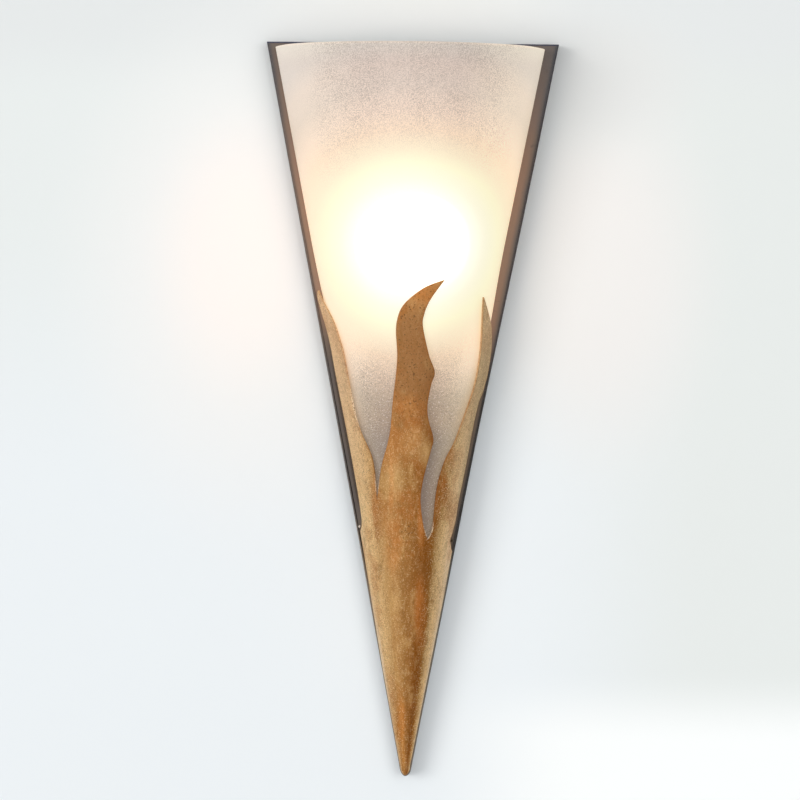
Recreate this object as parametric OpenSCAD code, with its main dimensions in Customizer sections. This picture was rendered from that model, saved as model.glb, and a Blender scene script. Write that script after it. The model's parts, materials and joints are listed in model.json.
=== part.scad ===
// Torch sconce: a wall light with a folded steel back pan, a lift-out half-cone glass shade,
// and a rolled metal shield whose top is cut into three flames. Millimetres, +Z up, front towards -Y.
// Heights named _h are measured up from the pan's tip; the origin is at the centre of the wall screws,
// on the wall's surface, and at_wall() moves every piece down to it.

/* [Back pan] */
// Height of the pan from its tip to its top edge
pan_h = 600; // [560:1:640]
// Width of the pan along its top edge
pan_top_w = 240; // [236:0.5:260]
// Height at which the pan's sides turn a little outwards
pan_knee_h = 190; // [150:1:230]
// Width of the pan at that height
pan_knee_w = 79; // [78:0.5:84]
// Width of the blunt tip
pan_tip_w = 7; // [6:0.5:9]
// Depth of the pan from the wall to its front face
pan_depth = 22; // [20:0.5:30]
// Thickness of the pan's sheet steel
pan_sheet_t = 1.2; // [0.8:0.1:1.5]
// Outside radius of the pan's folded edges
pan_bend_r = 2; // [1.8:0.1:3]

/* [Glass shade] */
// Width of the glass across its top edge
glass_top_w = 221; // [214:0.5:224]
// Width of the glass across its bottom edge
glass_foot_w = 54; // [50:0.5:56]
// Height of the glass's bottom edge
glass_foot_h = 170; // [160:1:178]
// Distance from the pan's top edge down to the glass's top edge
glass_top_drop = 3; // [2:0.5:20]
// Thickness of the glass
glass_t = 4; // [3:0.25:5]
// Width of the ground bevel on the glass's top rim
glass_bevel = 0.6; // [0.2:0.1:1.2]
// Clearance between the glass's straight edges and the pan's face
glass_back_gap = 0.3; // [0.1:0.05:0.6]

/* [Flame shield] */
// Height of the tallest tongue's tip
shield_h = 406; // [396:1:416]
// Thickness of the shield's sheet metal
shield_t = 1.2; // [0.8:0.1:1.5]
// Width of the shield at its blunt tip
shield_tip_w = 8.2; // [7:0.1:9]
// Clearance between the glass and the tallest tongue's tip
tongue_gap = 0.5; // [0.3:0.1:1.5]
// How far the rolled sheet bows out of a straight cone at half its height
shield_bow = 0.2; // [0.1:0.05:0.3]
// Straight steps of the sheet edge between two points of a tongue's outline
outline_steps = 3; // [2:1:6]
// Height of each brazed cross strap
cross_strap_w = 12; // [10:0.5:16]
// Thickness of each brazed cross strap
cross_strap_t = 3; // [2:0.25:4]
// Height of the lower cross strap's middle
low_strap_h = 70; // [60:1:90]
// Height of the upper cross strap's middle
high_strap_h = 130; // [110:1:140]
// Radius of the braze beads at the tongues' roots
bead_r = 1.6; // [1:0.1:1.8]
// Angle that each clear pad inside a tongue covers
pad_angle = 7; // [4:0.5:8]
// Height of each clear pad
pad_h = 9; // [6:0.5:12]
// Clearance between a clear pad and the glass
pad_gap = 0.25; // [0.1:0.05:0.5]

/* [Lamp] */
// Diameter of the lamp's globe
lamp_d = 45; // [43:0.5:46]
// Length of the lamp from its tip contact to the top of its globe
lamp_len = 78; // [77:0.5:84]
// Height of the middle of the globe
lamp_h = 443; // [438:1:448]
// Distance from the pan's face out to the lamp's axis
lamp_out = 36; // [33:0.5:39]
// Thickness of the lamp's glass
lamp_glass_t = 0.8; // [0.5:0.1:1.2]
// Diameter over the crests of the lamp's screw cap
cap_d = 13.8; // [13.6:0.05:13.9]
// Length of the lamp's screw cap
cap_len = 17; // [15:0.5:18]
// Thread pitch of the cap and of its shell
thread_pitch = 2.82; // [2.7:0.01:2.9]
// Depth of that thread
thread_depth = 0.6; // [0.4:0.05:0.8]
// Thickness of the cap's and the shell's sheet
thread_sheet_t = 0.35; // [0.3:0.05:0.4]
// Radial clearance between the cap's crests and the threaded shell
thread_gap = 0.1; // [0.08:0.01:0.15]
// Radius of the filament's loop
filament_r = 9; // [7:0.5:11]

/* [Lampholder] */
// Outside diameter of the lampholder
holder_d = 28; // [27.5:0.5:30]
// Wall of the lampholder's skirt
skirt_t = 1.4; // [1.2:0.1:1.6]
// Outside diameter of the hollow threaded nipple
nipple_d = 10; // [9.5:0.1:10.5]
// Bore of the nipple
nipple_bore_d = 7.6; // [7.2:0.1:8]
// Width of the holder bracket's strip
bracket_w = 20; // [18:1:24]
// Thickness of the bracket's strip
bracket_t = 2; // [1.5:0.1:2.5]
// Height of the bracket's foot, on the pan
bracket_foot = 42; // [40:1:46]

/* [Glass rest] */
// Height of the cushion under the glass
cushion_t = 2; // [1.5:0.25:3]
// Width of the rest's foot, on the pan
rest_w = 18; // [16:1:22]
// Thickness of the rest's sheet
rest_t = 1.5; // [1:0.1:2]
// Height of the rest's foot
rest_foot = 16; // [14:0.5:20]
// Clearance between the glass and its cushion
seat_gap = 0.2; // [0.1:0.05:0.3]

/* [Wall fixing] */
// Height of the middle of the wall strap
strap_h = 500; // [496:1:506]
// Length of the wall strap
strap_l = 108; // [100:1:112]
// Width of the wall strap
strap_w = 24; // [20:1:28]
// Thickness of the wall strap
strap_t = 2; // [1.5:0.1:2.5]
// How far the strap's middle stands off the wall, clear behind it
strap_rise = 4; // [3.5:0.1:5]
// Length of the strap's raised middle
strap_mid_l = 56; // [54:1:58]
// Distance between the two wall screws
wall_screw_spacing = 84; // [82:1:86]
// Diameter of the wall screw holes
wall_screw_d = 4.6; // [4:0.1:5.5]
// Distance between the two studs
stud_spacing = 40; // [36:1:44]

/* [Wiring] */
// Diameter of a lead over its insulation
lead_d = 2.4; // [2:0.1:2.6]
// Distance between neighbouring poles of the terminal block
pole_pitch = 10; // [9.5:0.25:12]
// Height of the middle of the terminal block
block_h = 404; // [402:1:410]
// Length of the terminal block along its wires
block_l = 18; // [16:0.5:20]
// Depth of the terminal block
block_depth = 14; // [12.5:0.5:15]
// Height of the earth screw
earth_h = 370; // [366:1:372]
// Height of the cable grommet
grommet_h = 285; // [280:1:288]
// Bore of the grommet
grommet_bore_d = 6.4; // [6:0.1:7]

/* [Hidden] */

$fn = 64;
// Overlap used where one solid cuts another
cut = 1;

// Metric fasteners: thread radius, width across flats, nut height, head radius and head height
m4_r = 2;
m4_flats = 7;
m4_nut_h = 3.2;
m4_head_r = 4;
m4_head_h = 2.6;
m4_hex_h = 2.8;
m3_r = 1.5;
m3_flats = 5.5;
m3_nut_h = 2.4;
m3_head_r = 2.8;
m3_head_h = 1.8;
// Radial clearance of a screw in a plain hole, and in the thread of its nut
hole_gap = 0.25;
nut_gap = 0.05;
washer_r = 4.5;
washer_t = 0.8;
// How far a screw stands out past its nut
screw_past = 1.5;
slot_w = 1;
slot_depth = 1.1;

// Planes across the depth, from the wall towards the viewer
face_y = -pan_depth;
pan_inside_y = face_y + pan_sheet_t;
lamp_y = face_y - lamp_out;

// Heights up the lampholder, counted from the lamp's tip contact
contact_h = lamp_h + lamp_d / 2 - lamp_len;
contact_gap = 0.1;
skirt_above = 18.5;
core_top_below = 3;
core_foot_below = 23.5;
base_foot_below = 41.5;
holder_top_h = contact_h + skirt_above;
core_top_h = contact_h - core_top_below;
core_h = contact_h - core_foot_below;
holder_base_h = contact_h - base_foot_below;
bracket_top_h = holder_base_h;
// How far the nipple stands out under the bracket, and up inside the lampholder's base
nipple_under = 7.5;
nipple_inside = 6;
nipple_low_h = bracket_top_h - bracket_t - nipple_under;
nipple_high_h = holder_base_h + nipple_inside;
// Top of the plate that carries the glass's cushion
rest_top_h = glass_foot_h - seat_gap - cushion_t;

// ---- outlines -------------------------------------------------------------------------------

function unit(v) = v / norm(v);
function left_of(v) = [-v[1], v[0]];

// A closed outline drawn in by d, with its corners kept sharp. The outline runs anticlockwise.
function drawn_in(outline, d) = [
    for (i = [0:len(outline) - 1])
        let (
            before = outline[(i + len(outline) - 1) % len(outline)],
            here = outline[i],
            after = outline[(i + 1) % len(outline)],
            n1 = left_of(unit(here - before)),
            n2 = left_of(unit(after - here))
        )
        here + d * (n1 + n2) / (1 + n1 * n2)
];

// A smooth curve through a chain of points, each stretch split into n steps
function curve_point(p, q, r, s, t) =
    0.5 * (2 * q + (r - p) * t + (2 * p - 5 * q + 4 * r - s) * t * t
        + (3 * q - p - 3 * r + s) * t * t * t);
function smooth(chain, n) = [
    for (i = [0:len(chain) - 2], k = [0:n - 1])
        curve_point(
            chain[max(i - 1, 0)], chain[i], chain[i + 1],
            chain[min(i + 2, len(chain) - 1)], k / n
        )
];

pan_outline = [
    [pan_tip_w / 2, 0],
    [pan_knee_w / 2, pan_knee_h],
    [pan_top_w / 2, pan_h],
    [-pan_top_w / 2, pan_h],
    [-pan_knee_w / 2, pan_knee_h],
    [-pan_tip_w / 2, 0]
];

// ---- cones ----------------------------------------------------------------------------------

glass_top_h = pan_h - glass_top_drop;
glass_slope = (glass_top_w - glass_foot_w) / 2 / (glass_top_h - glass_foot_h);
// Outside radius of the glass at height h
function glass_r(h) = glass_foot_w / 2 + glass_slope * (h - glass_foot_h);

shield_tip_r = shield_tip_w / 2;
shield_mouth_r = glass_r(shield_h) + tongue_gap + shield_t;
// Outside radius of the shield at height h
function shield_r(h) =
    let (share = h / shield_h)
    shield_tip_r + (shield_mouth_r - shield_tip_r) * share + 4 * shield_bow * share * (1 - share);

// ---- tongue outlines ------------------------------------------------------------------------
// Each point is [share of the shield's height, share of its half width], seen from the front.
// Shares past 1 lie outside the cone, so that the rolled edge itself is the limit there.

left_outer_edge = [
    [0.47, -1.12], [0.488, -1], [0.517, -0.95], [0.62, -0.94], [0.7, -0.944], [0.778, -0.965],
    [0.84, -0.98], [0.9, -0.99], [0.945, -0.994]
];
left_inner_edge = [
    [0.976, -0.99], [0.949, -0.966], [0.918, -0.916], [0.88, -0.869], [0.851, -0.842],
    [0.804, -0.825], [0.753, -0.806], [0.725, -0.785], [0.703, -0.757], [0.683, -0.712],
    [0.65, -0.618], [0.622, -0.586], [0.586, -0.582]
];
centre_left_edge = [
    [0.557, -0.586], [0.602, -0.506], [0.634, -0.44], [0.667, -0.35], [0.702, -0.282],
    [0.754, -0.237], [0.805, -0.187], [0.847, -0.16], [0.898, -0.17], [0.924, -0.148],
    [0.946, -0.095], [0.965, 0.008], [0.986, 0.169]
];
centre_right_edge = [
    [1, 0.366], [0.961, 0.226], [0.932, 0.163], [0.906, 0.154], [0.85, 0.244], [0.817, 0.33],
    [0.791, 0.293], [0.752, 0.26], [0.722, 0.283], [0.684, 0.378], [0.662, 0.36],
    [0.605, 0.263], [0.565, 0.228], [0.532, 0.262], [0.504, 0.329]
];
right_inner_edge = [
    [0.481, 0.42], [0.498, 0.5], [0.543, 0.508], [0.572, 0.512], [0.603, 0.538], [0.643, 0.615],
    [0.676, 0.72], [0.727, 0.809], [0.768, 0.865], [0.802, 0.893], [0.843, 0.895],
    [0.883, 0.88], [0.935, 0.843]
];
right_outer_edge = [
    [0.971, 0.822], [0.95, 0.874], [0.927, 0.918], [0.896, 0.952], [0.86, 0.972], [0.8, 0.982],
    [0.73, 0.98], [0.69, 0.974], [0.65, 0.965], [0.6, 0.953], [0.559, 0.945], [0.517, 0.947],
    [0.488, 1]
];
shield_edge = [
    for (p = concat(
        [[-0.02, -1.12]],
        smooth(left_outer_edge, outline_steps),
        smooth(concat(left_inner_edge, [centre_left_edge[0]]), outline_steps),
        smooth(concat(centre_left_edge, [centre_right_edge[0]]), outline_steps),
        smooth(concat(centre_right_edge, [right_inner_edge[0]]), outline_steps),
        smooth(concat(right_inner_edge, [right_outer_edge[0]]), outline_steps),
        smooth(concat(right_outer_edge, [[0.47, 1.12]]), outline_steps),
        [[0.47, 1.12], [-0.02, 1.12]]
    ))
        [p[1] * shield_r(p[0] * shield_h), p[0] * shield_h]
];

// ---- shared solids --------------------------------------------------------------------------

// Moves the model so that the wall screws' centre is the origin
module at_wall() {
    translate([0, 0, -strap_h]) children();
}

// Stands its child, drawn along +Z, on the plane y so that it points at the viewer
module towards_viewer(x, y, h) {
    translate([x, y, h]) rotate([90, 0, 0]) children();
}

// Stands its child, drawn along +Z, on the plane y so that it points at the wall
module towards_wall(x, y, h) {
    translate([x, y, h]) rotate([-90, 0, 0]) children();
}

// Outlines stacked across the depth: each layer is [y, outline], from the wall to the viewer
module stacked(layers) {
    n = len(layers[0][1]);
    points = [for (layer = layers, p = layer[1]) [p[0], layer[0], p[1]]];
    sides = [
        for (k = [0:len(layers) - 2], i = [0:n - 1])
            [k * n + i, (k + 1) * n + i, (k + 1) * n + (i + 1) % n, k * n + (i + 1) % n]
    ];
    back = [for (i = [0:n - 1]) i];
    front = [for (i = [n - 1:-1:0]) (len(layers) - 1) * n + i];
    polyhedron(points, concat(sides, [back, front]));
}

// A tray with rounded front edges: wall is how far its sides lie inside the pan's outline
module tray(back_y, wall) {
    r = pan_bend_r - wall;
    straight_y = -(pan_depth - pan_bend_r);
    stacked(concat(
        [[back_y, drawn_in(pan_outline, wall)]],
        [for (a = [0:22.5:90])
            [straight_y - r * sin(a), drawn_in(pan_outline, wall + r * (1 - cos(a)))]]
    ));
}

// The solid inside a cone of radius r_low at h_low and r_high at h_high, in front of plane y
module half_cone(h_low, r_low, h_high, r_high, y) {
    intersection() {
        translate([0, face_y, h_low]) cylinder(h = h_high - h_low, r1 = r_low, r2 = r_high);
        translate([-r_high, y - 2 * r_high, h_low]) cube([2 * r_high, 2 * r_high, h_high - h_low]);
    }
}

module hex_prism(flats, h) {
    cylinder(h = h, r = flats / sqrt(3), $fn = 6);
}

module hex_nut(flats, h, thread_r) {
    difference() {
        intersection() {
            hex_prism(flats, h);
            // the chamfer that takes the corners off
            cylinder(h = h, r1 = flats / 2 + h, r2 = flats / 2 + 0.1);
        }
        translate([0, 0, -cut]) cylinder(h = h + 2 * cut, r = thread_r + nut_gap);
    }
}

module ring(h, outer_r, inner_r) {
    difference() {
        cylinder(h = h, r = outer_r);
        translate([0, 0, -cut]) cylinder(h = h + 2 * cut, r = inner_r);
    }
}

// A slotted pan-head screw. The head stands above z = 0 and the shank hangs below it.
module pan_screw(shank_r, shank_l, head_r, head_h) {
    difference() {
        union() {
            translate([0, 0, -shank_l]) cylinder(h = shank_l, r = shank_r);
            cylinder(h = head_h, r1 = head_r, r2 = head_r * 0.8);
        }
        translate([-head_r - cut, -slot_w / 2, head_h - slot_depth])
            cube([2 * head_r + 2 * cut, slot_w, slot_depth + cut]);
    }
}

// A round bar between two points
module rod(p, q, r) {
    v = q - p;
    translate(p)
        rotate([0, acos(v[2] / norm(v)), atan2(v[1], v[0])])
            cylinder(h = norm(v), r = r, $fn = 24);
}

// A round lead carried along a route, one eight-sided ring at each point
lead_sides = 8;
function route_direction(route, i) =
    unit(route[min(i + 1, len(route) - 1)] - route[max(i - 1, 0)]);
module lead(chain) {
    route = concat(smooth(chain, 4), [chain[len(chain) - 1]]);
    across = [1, 0, 0];
    points = [
        for (i = [0:len(route) - 1])
            let (
                along = route_direction(route, i),
                u = unit(across - (across * along) * along),
                v = cross(along, u)
            )
            for (k = [0:lead_sides - 1])
                let (a = 360 * k / lead_sides)
                route[i] + lead_d / 2 * (cos(a) * u + sin(a) * v)
    ];
    last = (len(route) - 1) * lead_sides;
    sides = [
        for (i = [0:len(route) - 2], k = [0:lead_sides - 1])
            let (a = i * lead_sides, b = (k + 1) % lead_sides)
            [a + k, a + lead_sides + k, a + lead_sides + b, a + b]
    ];
    start = [for (k = [0:lead_sides - 1]) k];
    end = [for (k = [lead_sides - 1:-1:0]) last + k];
    polyhedron(points, concat(sides, [start, end]));
}

// A rolled thread's profile, as rings: radius r at the crests and r - depth at the roots
function thread_side(z_low, z_high, r) = [
    for (i = [0:floor((z_high - z_low) / thread_pitch) - 1], s = [[0, 0], [0.15, 0], [0.35, 1],
        [0.65, 1], [0.85, 0]])
        [r - thread_depth * (1 - s[1]), z_low + thread_pitch * (i + s[0])]
];

// ---- back pan and wall fixing ---------------------------------------------------------------

stud_hole_r = m4_r + hole_gap;
bracket_screw_low = 8;
bracket_screw_drop = 16;
bracket_screw_hs = [
    bracket_top_h - bracket_foot + bracket_screw_low,
    bracket_top_h - bracket_screw_drop
];
rest_screw_h = rest_top_h - rest_foot / 2 - rest_t / 2;
block_screw_x = pole_pitch / 2;
grommet_wall = 1.3;
grommet_hole_r = grommet_bore_d / 2 + grommet_wall;

module back_pan() color("#4b3a30") at_wall() difference() {
    tray(0, 0);
    tray(cut, pan_sheet_t);
    for (h = [strap_h - stud_spacing / 2, strap_h + stud_spacing / 2])
        towards_viewer(0, pan_inside_y + cut, h) cylinder(h = pan_sheet_t + 2 * cut, r = stud_hole_r);
    for (h = concat(bracket_screw_hs, [rest_screw_h, low_strap_h, high_strap_h, earth_h]))
        towards_viewer(0, pan_inside_y + cut, h)
            cylinder(h = pan_sheet_t + 2 * cut, r = m4_r + hole_gap);
    for (x = [-block_screw_x, block_screw_x])
        towards_viewer(x, pan_inside_y + cut, block_h)
            cylinder(h = pan_sheet_t + 2 * cut, r = m3_r + hole_gap);
    towards_viewer(0, pan_inside_y + cut, grommet_h)
        cylinder(h = pan_sheet_t + 2 * cut, r = grommet_hole_r);
}

strap_slope_l = 6;
strap_corner_r = 6;

module wall_strap() color("silver") at_wall() translate([0, 0, strap_h]) difference() {
    intersection() {
        translate([-strap_w / 2, 0, 0]) rotate([90, 0, 90]) linear_extrude(strap_w) polygon(concat(
            strap_side(0),
            [for (i = [5:-1:0]) strap_side(strap_t)[i]]
        ));
        rotate([90, 0, 0]) translate([0, 0, -cut]) linear_extrude(strap_rise + strap_t + 2 * cut)
            rounded_square(strap_w, strap_l, strap_corner_r);
    }
    for (z = [-wall_screw_spacing / 2, wall_screw_spacing / 2])
        towards_viewer(0, cut, z) cylinder(h = strap_t + 2 * cut, r = wall_screw_d / 2);
    for (z = [-stud_spacing / 2, stud_spacing / 2])
        towards_viewer(0, 0, z) cylinder(h = strap_rise + strap_t + cut, r = stud_hole_r);
}

// Side of the joggled strap, as [y, z] points, moved out from the wall by t
function strap_side(t) = [
    [-t, -strap_l / 2],
    [-t, -strap_mid_l / 2 - strap_slope_l],
    [-t - strap_rise, -strap_mid_l / 2],
    [-t - strap_rise, strap_mid_l / 2],
    [-t, strap_mid_l / 2 + strap_slope_l],
    [-t, strap_l / 2]
];

module rounded_square(w, l, r) {
    square([w - 2 * r, l], center = true);
    square([w, l - 2 * r], center = true);
    for (x = [-1, 1], y = [-1, 1])
        translate([x * (w / 2 - r), y * (l / 2 - r)]) circle(r);
}

stud_past_pan = 6.8;
cap_nut_h = 8;
// The dome is a little narrower than the flats, and the stud stops short of its blind end
dome_r = m4_flats / 2 - 0.3;
dome_h = cap_nut_h - dome_r;
stud_end_gap = 0.3;
stud_l = pan_depth - strap_rise + stud_past_pan;

module at_studs(y) {
    for (z = [-stud_spacing / 2, stud_spacing / 2])
        towards_viewer(0, y, strap_h + z) children();
}

module mounting_studs() color("gainsboro") at_wall() at_studs(-strap_rise) {
    translate([0, 0, -m4_hex_h]) hex_prism(m4_flats, m4_hex_h);
    cylinder(h = stud_l, r = m4_r);
}

module strap_nuts() color("gainsboro") at_wall() at_studs(-strap_rise - strap_t)
    hex_nut(m4_flats, m4_nut_h, m4_r);

module stud_washers() color("gainsboro") at_wall() at_studs(face_y)
    ring(washer_t, washer_r, stud_hole_r);

module cap_nuts() color("goldenrod") at_wall() at_studs(face_y - washer_t) difference() {
    union() {
        intersection() {
            hex_prism(m4_flats, m4_nut_h);
            cylinder(h = m4_nut_h, r1 = m4_flats, r2 = m4_flats / 2 + 0.1);
        }
        intersection() {
            translate([0, 0, dome_h]) sphere(r = dome_r);
            cylinder(h = cap_nut_h, r = m4_flats);
        }
        cylinder(h = dome_h, r = dome_r);
    }
    translate([0, 0, -cut])
        cylinder(h = cut + stud_past_pan - washer_t + stud_end_gap, r = m4_r + nut_gap);
}

// ---- wiring in the pan ----------------------------------------------------------------------

grommet_lip = 1.6;
// Radii of the grommet's lips, where they meet the sheet and at their rounded-off ends
lip_r = grommet_hole_r + grommet_lip;
lip_end_r = grommet_hole_r + 0.6;
// Plastic outside the centre of the block's end poles
block_end = 4.5;
block_w = 2 * (pole_pitch + block_end);
// Each pole has a tower that stands above the block's floor
tower_w = 7.2;
tower_step = 4;
block_floor = block_depth - tower_step;
clamp_r = 2.4;
clamp_bore_r = 1.6;
// How far the clamps stop short of the block's ends
clamp_inset = 1;
wire_rise = 5.5;
wire_y = pan_inside_y + wire_rise;
well_r = 2.1;
poles = [-pole_pitch, 0, pole_pitch];

module cable_grommet() color("dimgray") at_wall() difference() {
    union() {
        towards_viewer(0, pan_inside_y + grommet_lip, grommet_h)
            cylinder(h = pan_sheet_t + 2 * grommet_lip, r = grommet_hole_r);
        towards_viewer(0, pan_inside_y + grommet_lip, grommet_h)
            cylinder(h = grommet_lip, r1 = lip_end_r, r2 = lip_r);
        towards_viewer(0, face_y, grommet_h)
            cylinder(h = grommet_lip, r1 = lip_r, r2 = lip_end_r);
    }
    towards_viewer(0, pan_inside_y + grommet_lip + cut, grommet_h)
        cylinder(h = pan_sheet_t + 2 * grommet_lip + 2 * cut, r = grommet_bore_d / 2);
}

module terminal_block() color("ivory") at_wall() difference() {
    union() {
        translate([-block_w / 2, pan_inside_y, block_h - block_l / 2])
            cube([block_w, block_floor, block_l]);
        for (x = poles)
            translate([x - tower_w / 2, pan_inside_y, block_h - block_l / 2])
                cube([tower_w, block_depth, block_l]);
    }
    for (x = poles) {
        translate([x, wire_y, block_h - block_l / 2 - cut])
            cylinder(h = block_l + 2 * cut, r = clamp_r + nut_gap);
        for (z = [-block_l / 4, block_l / 4])
            towards_wall(x, wire_y, block_h + z) cylinder(h = block_depth, r = well_r);
    }
    for (x = [-block_screw_x, block_screw_x]) {
        towards_wall(x, pan_inside_y - cut, block_h)
            cylinder(h = block_depth + 2 * cut, r = m3_r + nut_gap);
        towards_wall(x, pan_inside_y + block_floor, block_h)
            cylinder(h = tower_step + cut, r = m3_head_r + hole_gap);
    }
}

clamp_screw_r = 1.2;
clamp_screw_l = 2.6;
clamp_head_r = well_r - 0.3;
clamp_head_h = 1.6;

module terminal_clamps() color("#c9a24a") at_wall() for (x = poles)
    difference() {
        translate([x, wire_y, block_h - block_l / 2 + clamp_inset])
            ring(block_l - 2 * clamp_inset, clamp_r, clamp_bore_r);
        for (z = [-block_l / 4, block_l / 4])
            towards_wall(x, wire_y, block_h + z)
                cylinder(h = block_depth, r = clamp_screw_r + nut_gap);
    }

module terminal_screws() color("gainsboro") at_wall()
    for (x = poles, z = [-block_l / 4, block_l / 4])
        towards_wall(x, wire_y + clamp_r + clamp_head_h, block_h + z)
            pan_screw(clamp_screw_r, clamp_screw_l, clamp_head_r, clamp_head_h);

module block_screws() color("gainsboro") at_wall() for (x = [-block_screw_x, block_screw_x])
    towards_wall(x, pan_inside_y + block_floor, block_h)
        pan_screw(m3_r, block_floor + pan_sheet_t + m3_nut_h + screw_past, m3_head_r, m3_head_h);

module block_nuts() color("gainsboro") at_wall() for (x = [-block_screw_x, block_screw_x])
    towards_viewer(x, face_y, block_h) hex_nut(m3_flats, m3_nut_h, m3_r);

ring_t = 0.8;
barrel_r = 1.9;
barrel_l = 7;
barrel_h = earth_h + m4_head_r + barrel_l;

module earth_screw() color("gainsboro") at_wall() towards_viewer(0, face_y, earth_h)
    pan_screw(m4_r, pan_sheet_t + ring_t + m4_nut_h + screw_past, m4_head_r, m4_head_h);

module earth_ring() color("#d9b36a") at_wall() {
    difference() {
        union() {
            towards_wall(0, pan_inside_y, earth_h) cylinder(h = ring_t, r = m4_head_r);
            translate([-barrel_r, pan_inside_y, earth_h]) cube([2 * barrel_r, ring_t, m4_head_r + 1]);
        }
        towards_wall(0, pan_inside_y - cut, earth_h)
            cylinder(h = ring_t + 2 * cut, r = m4_r + nut_gap);
    }
    translate([0, pan_inside_y + barrel_r, barrel_h - barrel_l])
        ring(barrel_l, barrel_r, lead_d / 2 + nut_gap);
}

module earth_nut() color("gainsboro") at_wall() towards_wall(0, pan_inside_y + ring_t, earth_h)
    hex_nut(m4_flats, m4_nut_h, m4_r);

// Bends of the leads: free run below the block, sideways slack in the pan, swing past the grommet
lead_x = lead_d / 2 + 0.4;
lead_run = 4;
slack_x = 9;
slack_y = -pan_depth / 2 + 2;
bend_h = 20;
bend_out = 14;
// Leaves a pole of the block, runs down the pan, out through the grommet and up the nipple
function lamp_lead_route(pole_x, side) = [
    [pole_x, wire_y, block_h],
    [pole_x, wire_y, block_h - block_l / 2 - lead_run],
    [pole_x, -pan_depth / 2, earth_h],
    [side * slack_x, slack_y, bracket_top_h - 3 * lead_run],
    [side * slack_x / 2, slack_y, grommet_h + bend_h],
    [side * lead_x, -pan_depth / 2, grommet_h + lead_run],
    [side * lead_x, pan_inside_y + lead_run / 2, grommet_h],
    [side * lead_x, face_y - lead_run, grommet_h],
    [side * lead_x, face_y - bend_out, grommet_h + lead_run],
    [side * lead_x, lamp_y + 2 * lead_run, grommet_h + bend_h],
    [side * lead_x, lamp_y + lead_d / 2, nipple_low_h - 2.5 * lead_run],
    [side * lead_x, lamp_y, nipple_low_h],
    [side * lead_x, lamp_y, nipple_high_h],
    [side * lead_x, lamp_y, core_h]
];

module live_lead() color("saddlebrown") at_wall() lead(lamp_lead_route(-pole_pitch, -1));

module neutral_lead() color("steelblue") at_wall() lead(lamp_lead_route(pole_pitch, 1));

module earth_lead() color("yellowgreen") at_wall() lead([
    [0, wire_y, block_h],
    [0, wire_y, block_h - block_l / 2 - 1],
    [0, pan_inside_y + barrel_r + 1, barrel_h + 3],
    [0, pan_inside_y + barrel_r, barrel_h],
    [0, pan_inside_y + barrel_r, barrel_h - barrel_l + 1]
]);

// ---- lampholder and its bracket -------------------------------------------------------------

nipple_r = nipple_d / 2;
nipple_nut_h = 3;
nipple_nut_flats = 14;
skirt_in_r = holder_d / 2 - skirt_t;
base_r = skirt_in_r - 0.2;
base_wall = 1.8;
base_floor = 3;
base_slope_w = 2;
base_slope_h = 5;
core_r = base_r - 0.5;
shell_r = cap_d / 2 + thread_gap + thread_depth;

module holder_bracket() color("silver") at_wall() difference() {
    union() {
        translate([-bracket_w / 2, face_y - bracket_t, bracket_top_h - bracket_foot])
            cube([bracket_w, bracket_t, bracket_foot]);
        translate([-bracket_w / 2, lamp_y, bracket_top_h - bracket_t])
            cube([bracket_w, lamp_out, bracket_t]);
        translate([0, lamp_y, bracket_top_h - bracket_t]) cylinder(h = bracket_t, r = bracket_w / 2);
    }
    translate([0, lamp_y, bracket_top_h - bracket_t - cut])
        cylinder(h = bracket_t + 2 * cut, r = nipple_r + nut_gap);
    for (h = bracket_screw_hs)
        towards_viewer(0, face_y + cut, h) cylinder(h = bracket_t + 2 * cut, r = m4_r + hole_gap);
}

module bracket_screws() color("gainsboro") at_wall() for (h = bracket_screw_hs)
    towards_viewer(0, face_y - bracket_t, h)
        pan_screw(m4_r, bracket_t + pan_sheet_t + m4_nut_h + screw_past, m4_head_r, m4_head_h);

module bracket_nuts() color("gainsboro") at_wall() for (h = bracket_screw_hs)
    towards_wall(0, pan_inside_y, h) hex_nut(m4_flats, m4_nut_h, m4_r);

module on_lamp_axis(h) {
    translate([0, lamp_y, h]) children();
}

module threaded_nipple() color("#c9a24a") at_wall() on_lamp_axis(nipple_low_h)
    ring(nipple_high_h - nipple_low_h, nipple_r, nipple_bore_d / 2);

module nipple_nut() color("#c9a24a") at_wall()
    on_lamp_axis(bracket_top_h - bracket_t - nipple_nut_h)
        hex_nut(nipple_nut_flats, nipple_nut_h, nipple_r);

module holder_base() color("#2a2624") at_wall() on_lamp_axis(0) difference() {
    rotate_extrude() polygon([
        [0, holder_base_h], [base_r - base_slope_w, holder_base_h],
        [base_r, holder_base_h + base_slope_h],
        [base_r, core_h], [base_r - base_wall, core_h],
        [base_r - base_wall, holder_base_h + base_floor], [0, holder_base_h + base_floor]
    ]);
    translate([0, 0, holder_base_h - cut])
        cylinder(h = base_floor + 2 * cut, r = nipple_r + nut_gap);
}

spring_r = 3;
spring_t = 0.6;
recess_r = 4.5;
recess_depth = 3;
core_disc_t = 9;

module holder_core() color("linen") at_wall() on_lamp_axis(0) difference() {
    union() {
        translate([0, 0, core_h]) cylinder(h = core_disc_t, r = core_r);
        translate([0, 0, core_h]) cylinder(h = core_top_h - core_h, r = shell_r + thread_sheet_t);
    }
    translate([0, 0, core_top_h - recess_depth]) cylinder(h = recess_depth + cut, r = recess_r);
}

skirt_low_h = holder_base_h + base_slope_h + 1;
skirt_lip_r = 9;
// Grip grooves cut round the skirt: depth, spacing, count and distance of the first from its top
groove_depth = 0.6;
groove_pitch = 3;
grooves = 5;
groove_drop = 4;

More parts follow.
